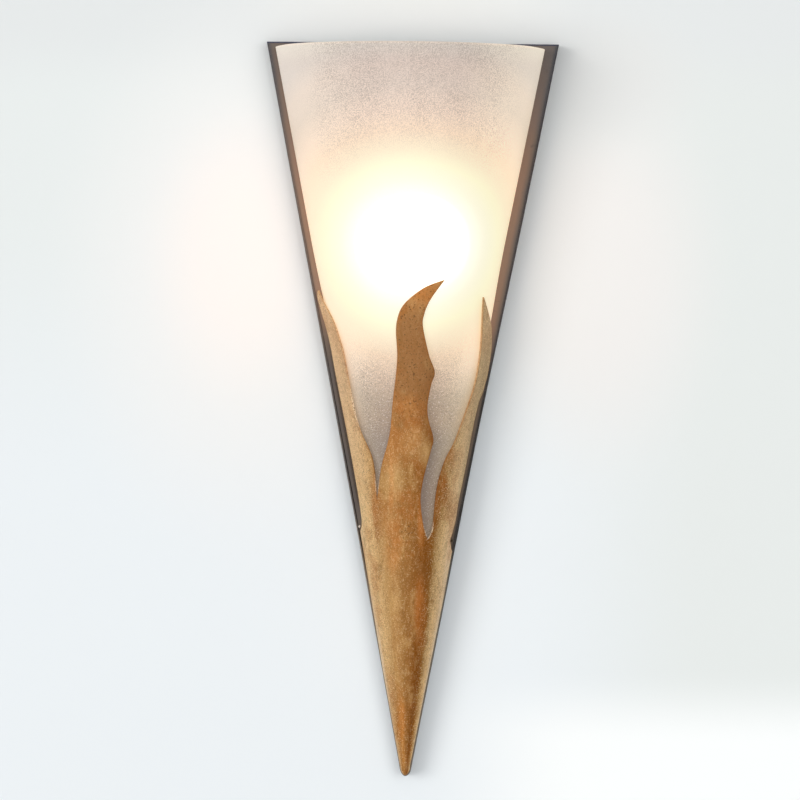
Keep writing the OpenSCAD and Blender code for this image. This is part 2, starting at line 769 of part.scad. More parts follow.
module holder_skirt() color("#2a2624") at_wall() on_lamp_axis(0) difference() {
    union() {
        translate([0, 0, skirt_low_h]) ring(holder_top_h - skirt_low_h, holder_d / 2, skirt_in_r);
        translate([0, 0, holder_top_h - skirt_t]) ring(skirt_t, holder_d / 2, skirt_lip_r);
    }
    for (i = [0:grooves - 1])
        translate([0, 0, holder_top_h - groove_drop - groove_pitch * i])
            ring(groove_pitch / 2, holder_d / 2 + cut, holder_d / 2 - groove_depth);
}

module screw_shell() color("#c9a24a") at_wall() on_lamp_axis(0) {
    side = thread_side(core_top_h, holder_top_h - skirt_t - 2 * thread_gap, shell_r);
    n = len(side);
    rotate_extrude() polygon(concat(
        side,
        [for (i = [n - 1:-1:0]) side[i] + [thread_sheet_t, 0]]
    ));
}

module centre_contact() color("#c9a24a") at_wall() on_lamp_axis(0) {
    translate([0, 0, core_top_h - recess_depth])
        cylinder(h = contact_h - contact_gap - core_top_h + recess_depth, r = spring_r / 2);
    translate([0, 0, contact_h - contact_gap - spring_t]) cylinder(h = spring_t, r = spring_r);
}

// ---- lamp -----------------------------------------------------------------------------------

tip_r = 2.3;
tip_t = 1.4;
tip_bevel = 0.7;
insulator_t = 2.6;
// How far the cap's edge laps over the insulator
cap_lap = 0.4;
cap_low_h = contact_h + tip_t + insulator_t - cap_lap;
cap_high_h = cap_low_h + cap_len;
neck_r = cap_d / 2 - thread_depth - thread_sheet_t - nut_gap;
// How deep the globe's neck and its stem sit in the cap
neck_in_cap = 5;
neck_low_h = cap_high_h - neck_in_cap;
// The neck meets the globe this share of its radius below the centre
join_share = 0.76;
turn_gap = 0.02;

module lamp_contact() color("silver") at_wall() on_lamp_axis(contact_h)
    rotate_extrude() polygon([
        [0, 0], [tip_r - tip_bevel, 0], [tip_r, tip_bevel],
        [tip_r, tip_t - turn_gap], [0, tip_t - turn_gap]
    ]);

module lamp_insulator() color("#1e1e22") at_wall() on_lamp_axis(contact_h + tip_t)
    cylinder(h = insulator_t, r1 = tip_r + 0.8, r2 = neck_r - 0.1);

module lamp_cap() color("#d8d2c4") at_wall() on_lamp_axis(0) {
    side = thread_side(cap_low_h, cap_high_h, cap_d / 2);
    n = len(side);
    top = side[n - 1][1] + 0.15 * thread_pitch;
    rotate_extrude() polygon(concat(
        side,
        [
            [cap_d / 2 - thread_depth, top], [cap_d / 2, cap_high_h],
            [cap_d / 2 - thread_sheet_t, cap_high_h],
            [cap_d / 2 - thread_depth - thread_sheet_t, top]
        ],
        [for (i = [n - 1:-1:0]) side[i] - [thread_sheet_t, 0]]
    ));
}

// The globe and its neck, drawn in by t
module globe_solid(t) {
    translate([0, 0, lamp_h]) sphere(r = lamp_d / 2 - t, $fn = 96);
    join_h = -join_share * lamp_d / 2;
    join_r = sqrt(pow(lamp_d / 2, 2) - pow(join_h, 2));
    rotate_extrude() polygon([
        [0, neck_low_h - (t > 0 ? cut : 0)], [neck_r - t, neck_low_h - (t > 0 ? cut : 0)],
        [neck_r - t, cap_high_h + 0.5], [neck_r + 1.6 - t, cap_high_h + 4],
        [join_r - t, lamp_h + join_h], [0, lamp_h + join_h]
    ]);
}

module lamp_globe() color("oldlace") at_wall() on_lamp_axis(0) difference() {
    globe_solid(0);
    globe_solid(lamp_glass_t);
}

stem_top_h = lamp_h - 13;

module lamp_stem() color("lightcyan") at_wall() on_lamp_axis(0) rotate_extrude() polygon([
    [0, neck_low_h + 1], [neck_r - lamp_glass_t - 0.1, neck_low_h + 1],
    [neck_r - lamp_glass_t - 0.1, neck_low_h + 2], [2.4, neck_low_h + 9],
    [1.8, stem_top_h - 3], [2.6, stem_top_h - 1.5], [2, stem_top_h], [0, stem_top_h]
]);

wire_r = 0.35;
filament_wire_r = 0.5;

module filament() color("orange") at_wall() on_lamp_axis(0) {
    translate([0, 0, lamp_h]) rotate_extrude(angle = 270, start = 135)
        translate([filament_r, 0]) circle(filament_wire_r, $fn = 24);
    for (a = [135, 45])
        rod([cos(a), sin(a), stem_top_h - 0.5], [filament_r * cos(a), filament_r * sin(a), lamp_h],
            wire_r);
}

// ---- glass rest -----------------------------------------------------------------------------

// The rest reaches a little past the glass's foot, outside and inside
rest_past = 0.5;
rest_r = glass_foot_w / 2 + rest_past;

module glass_rest() color("silver") at_wall() difference() {
    union() {
        translate([-rest_w / 2, face_y - rest_t, rest_top_h - rest_foot])
            cube([rest_w, rest_t, rest_foot]);
        half_cone(rest_top_h - rest_t, rest_r, rest_top_h, rest_r, face_y);
    }
    towards_viewer(0, face_y + cut, rest_screw_h)
        cylinder(h = rest_t + 2 * cut, r = m4_r + hole_gap);
}

module rest_cushion() color("white") at_wall() difference() {
    half_cone(rest_top_h, rest_r, rest_top_h + cushion_t, rest_r, face_y);
    translate([0, face_y, rest_top_h - cut])
        cylinder(h = cushion_t + 2 * cut, r = glass_foot_w / 2 - glass_t - 2 * rest_past);
}

module rest_screw() color("gainsboro") at_wall() towards_viewer(0, face_y - rest_t, rest_screw_h)
    pan_screw(m4_r, rest_t + pan_sheet_t + m4_nut_h + screw_past, m4_head_r, m4_head_h);

module rest_nut() color("gainsboro") at_wall() towards_wall(0, pan_inside_y, rest_screw_h)
    hex_nut(m4_flats, m4_nut_h, m4_r);

// ---- flame shield ---------------------------------------------------------------------------

// The shield is solid below this height, and its lowest edge is rounded off in two steps
tip_close_h = 4;
tip_round_h = 2.4;
tip_flat_in = 1.6;
tip_step_in = 0.4;
tip_step_h = 0.8;
// Conical bands that the bowed sheet is made of
shield_bands = 12;
function band_h(i, low) = low + (shield_h - low) * i / shield_bands;

module flame_shield() color("#b0813f") at_wall() intersection() {
    translate([0, face_y, 0]) rotate_extrude(angle = 180, start = 180) polygon(concat(
        [[0, 0], [shield_tip_r - tip_flat_in, 0], [shield_tip_r - tip_step_in, tip_step_h]],
        [for (i = [0:shield_bands]) let (h = band_h(i, tip_round_h)) [shield_r(h), h]],
        [for (i = [shield_bands:-1:0]) let (h = band_h(i, tip_close_h)) [shield_r(h) - shield_t, h]],
        [[0, tip_close_h]]
    ));
    towards_viewer(0, face_y, 0) linear_extrude(shield_mouth_r + cut) polygon(shield_edge);
}

module cross_straps() color("silver") at_wall() for (h = [low_strap_h, high_strap_h])
    difference() {
        low = h - cross_strap_w / 2;
        high = h + cross_strap_w / 2;
        intersection() {
            half_cone(low, shield_r(low) - shield_t, high, shield_r(high) - shield_t, face_y);
            translate([-shield_r(high), face_y - cross_strap_t, low])
                cube([2 * shield_r(high), cross_strap_t, cross_strap_w]);
        }
        towards_viewer(0, face_y + cut, h) cylinder(h = cross_strap_t + 2 * cut, r = m4_r + nut_gap);
    }

module shield_screws() color("gainsboro") at_wall() for (h = [low_strap_h, high_strap_h])
    towards_wall(0, pan_inside_y, h)
        pan_screw(m4_r, pan_sheet_t + cross_strap_t + screw_past, m4_head_r, m4_head_h);

// The beads lie against the outside of the shield, just below the corners of the side tongues
bead_share = 0.482;
bead_h = bead_share * shield_h;

module braze_beads() color("#d9b36a") at_wall() for (side = [-1, 1])
    intersection() {
        slope = (shield_r(bead_h + bead_r) - shield_r(bead_h - bead_r)) / 2 / bead_r;
        x = side * (shield_r(bead_h) + bead_r * norm([1, slope]));
        translate([x, face_y, bead_h]) sphere(r = bead_r);
        translate([x - bead_r, face_y - bead_r, bead_h - bead_r])
            cube([2 * bead_r, bead_r, 2 * bead_r]);
    }

// Places of the clear pads: [height above the tip as a share of the shield, degrees from the front]
pad_places = [[0.925, 0], [0.86, -67], [0.86, 71]];

module tongue_pads() color("whitesmoke") at_wall() for (place = pad_places) {
    low = place[0] * shield_h - pad_h / 2;
    high = low + pad_h;
    translate([0, face_y, 0])
        rotate_extrude(angle = pad_angle, start = 270 + place[1] - pad_angle / 2) polygon([
            [glass_r(low) + pad_gap, low], [shield_r(low) - shield_t, low],
            [shield_r(high) - shield_t, high], [glass_r(high) + pad_gap, high]
        ]);
}

// ---- glass shade ----------------------------------------------------------------------------

module glass_shade() color([1, 0.96, 0.86, 0.6]) at_wall() intersection() {
    translate([0, face_y, 0]) rotate_extrude(angle = 180, start = 180) polygon([
        [glass_r(glass_foot_h) - glass_t, glass_foot_h],
        [glass_r(glass_foot_h), glass_foot_h],
        [glass_r(glass_top_h - glass_bevel), glass_top_h - glass_bevel],
        [glass_r(glass_top_h) - glass_bevel, glass_top_h],
        [glass_r(glass_top_h) - glass_t + glass_bevel, glass_top_h],
        [glass_r(glass_top_h - glass_bevel) - glass_t, glass_top_h - glass_bevel]
    ]);
    translate([-glass_top_w, face_y - glass_back_gap - 2 * glass_top_w, 0])
        cube([2 * glass_top_w, 2 * glass_top_w, pan_h]);
}

back_pan();
wall_strap();
mounting_studs();
strap_nuts();
stud_washers();
cap_nuts();
cable_grommet();
terminal_block();
terminal_clamps();
terminal_screws();
block_screws();
block_nuts();
earth_screw();
earth_ring();
earth_nut();
live_lead();
neutral_lead();
earth_lead();
holder_bracket();
bracket_screws();
bracket_nuts();
threaded_nipple();
nipple_nut();
holder_base();
holder_core();
holder_skirt();
screw_shell();
centre_contact();
glass_rest();
rest_cushion();
rest_screw();
rest_nut();
flame_shield();
cross_straps();
shield_screws();
braze_beads();
tongue_pads();
lamp_contact();
lamp_insulator();
lamp_cap();
lamp_globe();
lamp_stem();
filament();
glass_shade();
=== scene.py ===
"""Torch sconce: a brown folded pan, a lift-out half-cone of frosted glass lit from inside, and a worn gold
shield cut into flames. Metres; the wall is the plane y = 0, the light faces -y and z points up.

In order: sizes, surfaces, finishes, flame shield, glass shade, lamp and holder, leads, the pieces kept from
the model, and the wall, lamps and camera."""
import json
import math

import bmesh
import bpy
import numpy as np
from mathutils import Matrix


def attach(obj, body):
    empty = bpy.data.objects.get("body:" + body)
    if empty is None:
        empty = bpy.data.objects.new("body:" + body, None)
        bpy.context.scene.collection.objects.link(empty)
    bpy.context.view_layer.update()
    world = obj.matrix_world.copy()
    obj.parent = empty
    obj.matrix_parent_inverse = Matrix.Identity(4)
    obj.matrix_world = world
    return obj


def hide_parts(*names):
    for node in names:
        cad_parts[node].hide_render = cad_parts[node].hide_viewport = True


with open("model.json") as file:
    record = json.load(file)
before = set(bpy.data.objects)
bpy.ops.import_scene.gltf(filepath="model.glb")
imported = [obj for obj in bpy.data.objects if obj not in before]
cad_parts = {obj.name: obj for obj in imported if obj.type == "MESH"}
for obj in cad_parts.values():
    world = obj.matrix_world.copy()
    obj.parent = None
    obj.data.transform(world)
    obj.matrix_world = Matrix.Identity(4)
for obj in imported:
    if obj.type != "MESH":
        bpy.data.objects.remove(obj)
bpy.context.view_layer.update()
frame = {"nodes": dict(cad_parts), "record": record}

# ---- sizes shared with the model ---------------------------------------------------------------

# Heights are above the foot of the pan
TIP_Z = -0.5
FACE_Y = -0.022
PAN_SHEET = 0.0012
PAN_KNEE = 0.19
PAN_FOOT_R, PAN_KNEE_R = 0.0035, 0.0395
PAN_LOW_SLOPE, PAN_TOP_SLOPE = 0.1895, 0.19634
# The rounded foot of the pan: heights and half widths there
TIP_H = np.array([0.0, 0.0002, 0.0005, 0.0014, 0.0028, 0.0042, 0.0055])
TIP_R = np.array([0.0, 0.0010, 0.0016, 0.0027, 0.0036, 0.0042, 0.00455])
# Further heights at which the pan is cut across, so that its flange can bend
PAN_CUTS = (0.03, 0.07, 0.11, 0.15, 0.23, 0.27, 0.31, 0.35, 0.39, 0.44, 0.5)

GLASS_FOOT, GLASS_TOP, GLASS_T = 0.170, 0.597, 0.004
GLASS_FOOT_R, GLASS_TOP_R = 0.027, 0.1105
GLASS_SLOPE = (GLASS_TOP_R - GLASS_FOOT_R) / (GLASS_TOP - GLASS_FOOT)
# The straight edges of the glass stand this far before the face of the pan
GLASS_BACK = 0.0003

SHIELD_H, SHIELD_T = 0.406, 0.0012
SHIELD_FOOT_R = 0.0041
# The shield's mouth stands 1.7 mm outside the glass
SHIELD_MOUTH_R = GLASS_FOOT_R + GLASS_SLOPE * (SHIELD_H - GLASS_FOOT) + 0.0017
SHIELD_SLOPE = (SHIELD_MOUTH_R - SHIELD_FOOT_R) / SHIELD_H
SHIELD_BOW = 0.0008
# The pan's rim shows beside the shield by this much on the left and on the right
ROOM_LEFT, ROOM_RIGHT = 0.0006, 0.0014

LAMP_Y, LAMP_Z = -0.058, -0.057
GLOBE_R, GLOBE_T = 0.0225, 0.0008
# The thread of the lamp's cap and of the shell that it turns in
PITCH, THREAD_DEPTH, THREAD_SHEET = 0.00282, 0.0006, 0.00035
CAP_R, SHELL_R = 0.0069, 0.0076
CAP_LOW = -0.1089
CAP_HIGH = CAP_LOW + 0.017
SHELL_LOW, SHELL_HIGH = -0.1155, -0.0956
LEAD_R = 0.0012

# What the photograph shows beside the model: the pan's top stands higher and its right flange bows in, and
# the glass leans to the left
TOP_RAISED, RIGHT_BOW, GLASS_LEAN = 0.0018, 0.0014, 0.0022

# Points closer than this become one
MERGE = 2e-6
BLACK = (0.0, 0.0, 0.0)


def glass_r(height):
    """Outside radius of the glass, a straight line: foot radius + slope * (height - foot height)."""
    return GLASS_FOOT_R + GLASS_SLOPE * (height - GLASS_FOOT)


def shield_r(height):
    """Outside radius of the shield: foot + (mouth - foot) s + bow s (1 - s) at a share s of its height."""
    share = height / SHIELD_H
    return SHIELD_FOOT_R + (SHIELD_MOUTH_R - SHIELD_FOOT_R) * share + SHIELD_BOW * share * (1 - share)


def pan_half(height):
    """Half width of the pan: a straight slope up to its knee, and a slightly wider one above it."""
    low = PAN_FOOT_R + PAN_LOW_SLOPE * height
    return np.where(height < PAN_KNEE, low, PAN_KNEE_R + PAN_TOP_SLOPE * (height - PAN_KNEE))


def inside_pan(x, height):
    """Draws the sheet in where it is wider than the pan less its showing rim: x * min(1, room / radius)."""
    room = pan_half(height) - np.where(x < 0, ROOM_LEFT, ROOM_RIGHT)
    return x * np.minimum(1, room / shield_r(height))


def ease(share):
    """An easy step from 0 to 1 along a share: 3 s^2 - 2 s^3, flat outside 0 to 1."""
    share = np.clip(share, 0, 1)
    return share * share * (3 - 2 * share)


# ---- surfaces -----------------------------------------------------------------------------------


def grid_faces(rows, cols, ring=False):
    """Four corners of each cell of a grid of points, row by row; ring joins the last column to the first."""
    i, j = np.meshgrid(np.arange(rows - 1), np.arange(cols if ring else cols - 1), indexing="ij")
    k = (j + 1) % cols
    cells = np.stack([i * cols + j, i * cols + k, (i + 1) * cols + k, (i + 1) * cols + j], -1)
    return cells.reshape(-1, 4)


def weld(mesh, outward):
    """Merges points that lie together, so that seams and poles close, and may turn the faces outwards."""
    bm = bmesh.new()
    bm.from_mesh(mesh)
    bmesh.ops.remove_doubles(bm, verts=bm.verts, dist=MERGE)
    bmesh.ops.dissolve_degenerate(bm, edges=bm.edges, dist=MERGE / 4)
    if outward:
        bmesh.ops.recalc_face_normals(bm, faces=bm.faces)
    bm.to_mesh(mesh)
    bm.free()


def piece(name, grids, finish, body, node, ring=False, outward=True, marks=None, crease=35):
    """A mesh from one or more grids of points (rows x columns x 3), welded into one skin. ring joins each
    grid's last column to its first, and marks holds a number for each point, kept under its own name."""
    points = np.concatenate([grid.reshape(-1, 3) for grid in grids])
    first = np.cumsum([0] + [grid.shape[0] * grid.shape[1] for grid in grids])
    faces = np.concatenate([grid_faces(*grid.shape[:2], ring) + start for grid, start in zip(grids, first)])
    mesh = bpy.data.meshes.new(name)
    mesh.vertices.add(len(points))
    mesh.vertices.foreach_set("co", points.astype(np.float32).ravel())
    mesh.loops.add(faces.size)
    mesh.loops.foreach_set("vertex_index", faces.astype(np.int32).ravel())
    mesh.polygons.add(len(faces))
    mesh.polygons.foreach_set("loop_start", np.arange(0, faces.size, 4, dtype=np.int32))
    mesh.update(calc_edges=True)
    for mark, values in (marks or {}).items():
        kept = mesh.attributes.new(mark, "FLOAT", "POINT")
        kept.data.foreach_set("value", np.concatenate([v.ravel() for v in values]).astype(np.float32))
    mesh.validate()
    weld(mesh, outward)
    return dress(name, mesh, finish, body, node, crease)


def dress(name, mesh, finish, body, node, crease):
    """Puts a finished mesh in the scene in place of a node of the model: on its body, with its finish, and
    shaded smoothly up to an angle of crease degrees."""
    mesh.polygons.foreach_set("use_smooth", np.ones(len(mesh.polygons), bool))
    mesh.set_sharp_from_angle(angle=math.radians(crease))
    mesh.materials.append(FINISH[finish])
    thing = bpy.data.objects.new(name, mesh)
    bpy.context.scene.collection.objects.link(thing)
    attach(thing, body)
    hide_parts(node)
    return thing


def face_front(thing):
    """Turns an open skin so that its faces look away from the upright line through the pan's face: it flips
    them when the sum of normal * (centre - line) over all faces is below zero."""
    mesh = thing.data
    normals = np.zeros(len(mesh.polygons) * 3)
    centres = np.zeros(len(mesh.polygons) * 3)
    mesh.polygons.foreach_get("normal", normals)
    mesh.polygons.foreach_get("center", centres)
    away = centres.reshape(-1, 3) - np.array([0, FACE_Y, 0])
    away[:, 2] = 0
    if (normals.reshape(-1, 3) * away).sum() < 0:
        mesh.flip_normals()


def thicken(thing, thickness, edge, segments):
    """Gives an open skin its thickness on the inside and rounds the edges that this makes."""
    wall = thing.modifiers.new("wall", "SOLIDIFY")
    wall.thickness, wall.offset, wall.use_even_offset = thickness, -1, True
    rounded = thing.modifiers.new("edge", "BEVEL")
    rounded.width, rounded.segments = edge, segments
    rounded.limit_method, rounded.angle_limit = "ANGLE", math.radians(55)


def smooth_line(chain, steps=12):
    """A curve through a chain of points. Between b and c, with their neighbours a and d, it is
    b + (c - a) t / 2 + (2a - 5b + 4c - d) t^2 / 2 + (3b - a - 3c + d) t^3 / 2."""
    p = np.asarray(chain, float)
    p = np.vstack([p[:1], p, p[-1:]])
    a, b, c, d = (p[k:len(p) - 3 + k, None] for k in range(4))
    t = (np.arange(steps) / steps)[None, :, None]
    line = 0.5 * (2 * b + (c - a) * t + (2 * a - 5 * b + 4 * c - d) * t**2 + (3 * b - a - 3 * c + d) * t**3)
    return np.vstack([line.reshape(-1, p.shape[1]), p[-1:]])


def turned(profile, steps=96, centre=(0.0, LAMP_Y)):
    """A profile of (radius, height) points carried round an upright axis: centre + radius * (cos, sin)."""
    profile = np.asarray(profile, float)
    turn = np.arange(steps) / steps * 2 * np.pi
    radius, height = profile[:, :1], profile[:, 1:]
    return np.stack([
        centre[0] + radius * np.cos(turn), centre[1] + radius * np.sin(turn), height + 0 * turn
    ], -1)


def tube(chain, radius, sides=20):
    """A round section carried along a smooth line: path + radius * (across * cos + up * sin), with across
    and up square to the path. A ring without size at each end closes it."""
    path = smooth_line(chain)
    along = np.gradient(path, axis=0)
    along /= np.linalg.norm(along, axis=1, keepdims=True)
    across = np.array([1.0, 0.0, 0.0]) - along[:, :1] * along
    across /= np.linalg.norm(across, axis=1, keepdims=True)
    up = np.cross(along, across)
    turn = (np.arange(sides) / sides * 2 * np.pi)[None, :, None]
    rings = path[:, None] + radius * (across[:, None] * np.cos(turn) + up[:, None] * np.sin(turn))
    point = np.zeros((1, sides, 3))
    return np.concatenate([path[0] + point, rings, path[-1] + point])


# ---- finishes -----------------------------------------------------------------------------------


class Amount:
    """One output of a finish. A sum written with it adds its Math nodes."""

    def __init__(self, finish, socket):
        self.finish, self.socket = finish, socket

    def sum(self, operation, *terms):
        """One Math node."""
        return self.finish.node("ShaderNodeMath", {"operation": operation}, *terms)

    def __add__(self, other):
        return self.sum("ADD", self, other)

    def __radd__(self, other):
        return self.sum("ADD", other, self)

    def __sub__(self, other):
        return self.sum("SUBTRACT", self, other)

    def __rsub__(self, other):
        return self.sum("SUBTRACT", other, self)

    def __mul__(self, other):
        return self.sum("MULTIPLY", self, other)

    def __rmul__(self, other):
        return self.sum("MULTIPLY", other, self)

    def __truediv__(self, other):
        return self.sum("DIVIDE", self, other)

    def __rtruediv__(self, other):
        return self.sum("DIVIDE", other, self)

    def __pow__(self, other):
        return self.sum("POWER", self, other)


class Finish:
    """The nodes of one material. Constants are set on the shader's own sockets."""

    def __init__(self, name, **constants):
        self.material = bpy.data.materials.new(name)
        self.material.use_nodes = True
        self.tree = self.material.node_tree
        self.shader = self.tree.nodes["Principled BSDF"]
        for socket, value in constants.items():
            self.give(self.shader, socket.replace("_", " "), value)
        self.here = self.node("ShaderNodeTexCoord", out="Object")
        self.x, self.y, self.z = (
            self.node("ShaderNodeSeparateXYZ", None, self.here, out=axis) for axis in "XYZ"
        )

    def give(self, node, socket, value):
        """Links or sets one input, found by its place, its identifier or its name."""
        if isinstance(socket, int):
            target = node.inputs[socket]
        else:
            target = next((s for s in node.inputs if s.identifier == socket), None) or node.inputs[socket]
        if isinstance(value, Amount):
            self.tree.links.new(value.socket, target)
        elif isinstance(value, tuple) and len(value) == 3 and target.type == "RGBA":
            target.default_value = (*value, 1.0)
        else:
            target.default_value = value

    def node(self, kind, settings=None, *values, out=0, **named):
        """Any node: its settings first, then its inputs by place or by name, and the output asked for."""
        made = self.tree.nodes.new(kind)
        for setting, value in (settings or {}).items():
            if setting == "stops":
                ramp = made.color_ramp
                while len(ramp.elements) < len(value):
                    ramp.elements.new(0.5)
                for element, (place, colour) in zip(ramp.elements, value):
                    element.position, element.color = place, (*colour, 1.0)
            else:
                setattr(made, setting, value)
        for socket, value in (*enumerate(values), *named.items()):
            self.give(made, socket, value)
        return Amount(self, made.outputs[out])

    def mix(self, share, first, second, blend="MIX"):
        """The first colour where share is 0 and the second where it is 1."""
        return self.node("ShaderNodeMix", {"data_type": "RGBA", "blend_type": blend}, out=2,
                         Factor_Float=share, A_Color=first, B_Color=second)

    def add(self, colour, share, light):
        """The colour plus a share of some light."""
        return self.mix(1.0, colour, self.mix(share, BLACK, light), "ADD")

    def ramp(self, value, stops):
        """Colours along a value from 0 to 1, blended in a straight line between their stops."""
        return self.node("ShaderNodeValToRGB", {"stops": stops}, value)

    def rise(self, value, low, high):
        """0 below low, 1 above high and an easy slope between; low and high may be swapped."""
        easy = {"interpolation_type": "SMOOTHSTEP"}
        return self.node("ShaderNodeMapRange", easy, value, low, high, 0.0, 1.0)

    def least(self, first, second):
        """The smaller of two values."""
        return self.node("ShaderNodeMath", {"operation": "MINIMUM"}, first, second)

    def size(self, value):
        """The value without its sign."""
        return self.node("ShaderNodeMath", {"operation": "ABSOLUTE"}, value)

    def noise(self, scale, detail=3.0, rough=0.55, stretch=(1.0, 1.0, 1.0)):
        """A cloud with scale spots to the metre; a stretch below 1 draws the spots out along that axis."""
        place = self.node("ShaderNodeVectorMath", {"operation": "MULTIPLY"}, self.here, stretch)
        return self.node("ShaderNodeTexNoise", None, place, Scale=scale, Detail=detail, Roughness=rough)

    def patch(self, x, z, wide, tall):
        """1 in the middle of an oval seen from the front, fading to 0 at its edge; millimetres."""
        across, along = (self.x - x / 1000) * (1000 / wide), (self.z - z / 1000) * (1000 / tall)
        return self.rise((across * across + along * along) ** 0.5, 1.0, 0.25)

    def patches(self, base, colour, places, share=1.0):
        """Lays one colour over the base in each of some patches (x, z, wide, tall, strength)."""
        for x, z, wide, tall, strength in places:
            base = self.mix(self.patch(x, z, wide, tall) * strength * share, base, colour)
        return base

    def from_lamp(self, wide=1.0):
        """The distance from the middle of the lamp; wide counts the way across for more than it is."""
        dy, dz = self.y - LAMP_Y, self.z - LAMP_Z
        return (wide * self.x * self.x + dy * dy + dz * dz) ** 0.5

    def attribute(self, name):
        """A number that the piece's points carry."""
        return self.node("ShaderNodeAttribute", {"attribute_name": name}, out="Fac")

    def colour(self, value):
        """Sets what the surface's colour is made from."""
        self.give(self.shader, "Base Color", value)

    def roughness(self, value):
        """Sets what the surface's roughness is made from."""
        self.give(self.shader, "Roughness", value)

    def bump(self, height, distance, strength=1.0):
        """A height that shades the surface as if it stood up by distance."""
        self.give(self.shader, "Normal", self.node(
            "ShaderNodeBump", None, out="Normal", Strength=strength, Distance=distance, Height=height))


def pan_paint():
    """Satin brown paint: warm and cool brown drift into each other, with a fine grain. Over it lies painted
    light
    and shade: a painted warm glow of the lamp on the rim beside the glass, painted shade on the rim's fold, a
    cool painted shade on the top edge, the right rim painted nearly black with shade below the lamp, and a
    painted warm reflection of the gold beside the shield."""
    f = Finish("pan_brown", Metallic=0.0, Specular_IOR_Level=0.3)
    drift = f.noise(28, 4)
    grain = f.noise(900, 2)
    base = f.mix(f.rise(drift, 0.38, 0.62), (0.106, 0.090, 0.083), (0.136, 0.104, 0.082))
    # inwards runs from the pan's outer edge; what is on the right side is like the left, but 34 mm lower
    inwards = PAN_KNEE_R + PAN_TOP_SLOPE * (f.z - TIP_Z - PAN_KNEE) - f.size(f.x)
    right = f.rise(f.x, -0.01, 0.01)
    level = f.z + 0.034 * right
    face = f.rise(f.y, -0.009, -0.0205)
    # painted warm glow of the lamp on the rim beside the glass
    warm = f.rise(f.z, 0.12, -0.04) * f.rise(level, -0.150, -0.110)
    warm = warm * f.rise(inwards, 0.0035 * right - 0.002, 0.0045 + 0.003 * right)
    warm = warm * f.rise(f.y, -0.0209, -0.0216)
    base = f.mix(warm * 0.75, base, (0.34, 0.195, 0.125))
    # painted shade along the rim's outer fold, stronger on the right, and a cool painted shade on it towards
    # the top
    fold = f.rise(inwards, 0.0036, 0.0014) * f.rise(level, -0.20, -0.10) * (0.2 + 0.6 * right)
    base = f.mix(fold, base, (0.045, 0.037, 0.038))
    base = f.mix(f.rise(f.z, 0.0, 0.09) * f.rise(inwards, 0.0050, 0.0015) * 0.7, base, (0.055, 0.058, 0.068))
    # painted shade on the lower rim: nearly black along its fold on the right, with a painted warm reflection
    # of the gold beside the shield there, a dark line beside the glass on the left painted as the shadow of
    # the left tongue, and lighter towards the foot
    low = f.rise(level, -0.10, -0.16) * right * face
    base = f.mix(low * f.rise(inwards, 0.0045, 0.0025) * 0.9, base, (0.024, 0.019, 0.015))
    base = f.mix(low * f.rise(inwards, 0.0024, 0.0044) * 0.8, base, (0.145, 0.098, 0.060))
    line = f.rise(f.z, -0.13, -0.18) * f.rise(f.z, -0.285, -0.27)
    line = line * (1 - right) * f.rise(inwards, 0.0038, 0.0050)
    base = f.mix(line * 0.75, base, (0.055, 0.035, 0.020))
    base = f.mix(f.rise(level, -0.27, -0.315) * face, base, (0.190, 0.150, 0.112))
    # painted cool shade on the front corner of the top, then grain and stains
    top_corner_shade = f.rise(f.z, 0.1000, 0.1012) * f.rise(f.y, -0.019, -0.0215)
    base = f.mix(top_corner_shade, base, (0.035, 0.042, 0.085))
    base = f.mix(f.rise(grain, 0.45, 0.75) * 0.25, base, (0.20, 0.15, 0.12))
    base = f.mix(f.rise(f.noise(140, 5), 0.60, 0.74) * 0.4, base, (0.055, 0.045, 0.042))
    f.colour(base)
    f.roughness(0.42 + 0.2 * drift + 0.1 * grain)
    f.bump(f.noise(420, 4), 0.00012, 0.7)
    return f.material


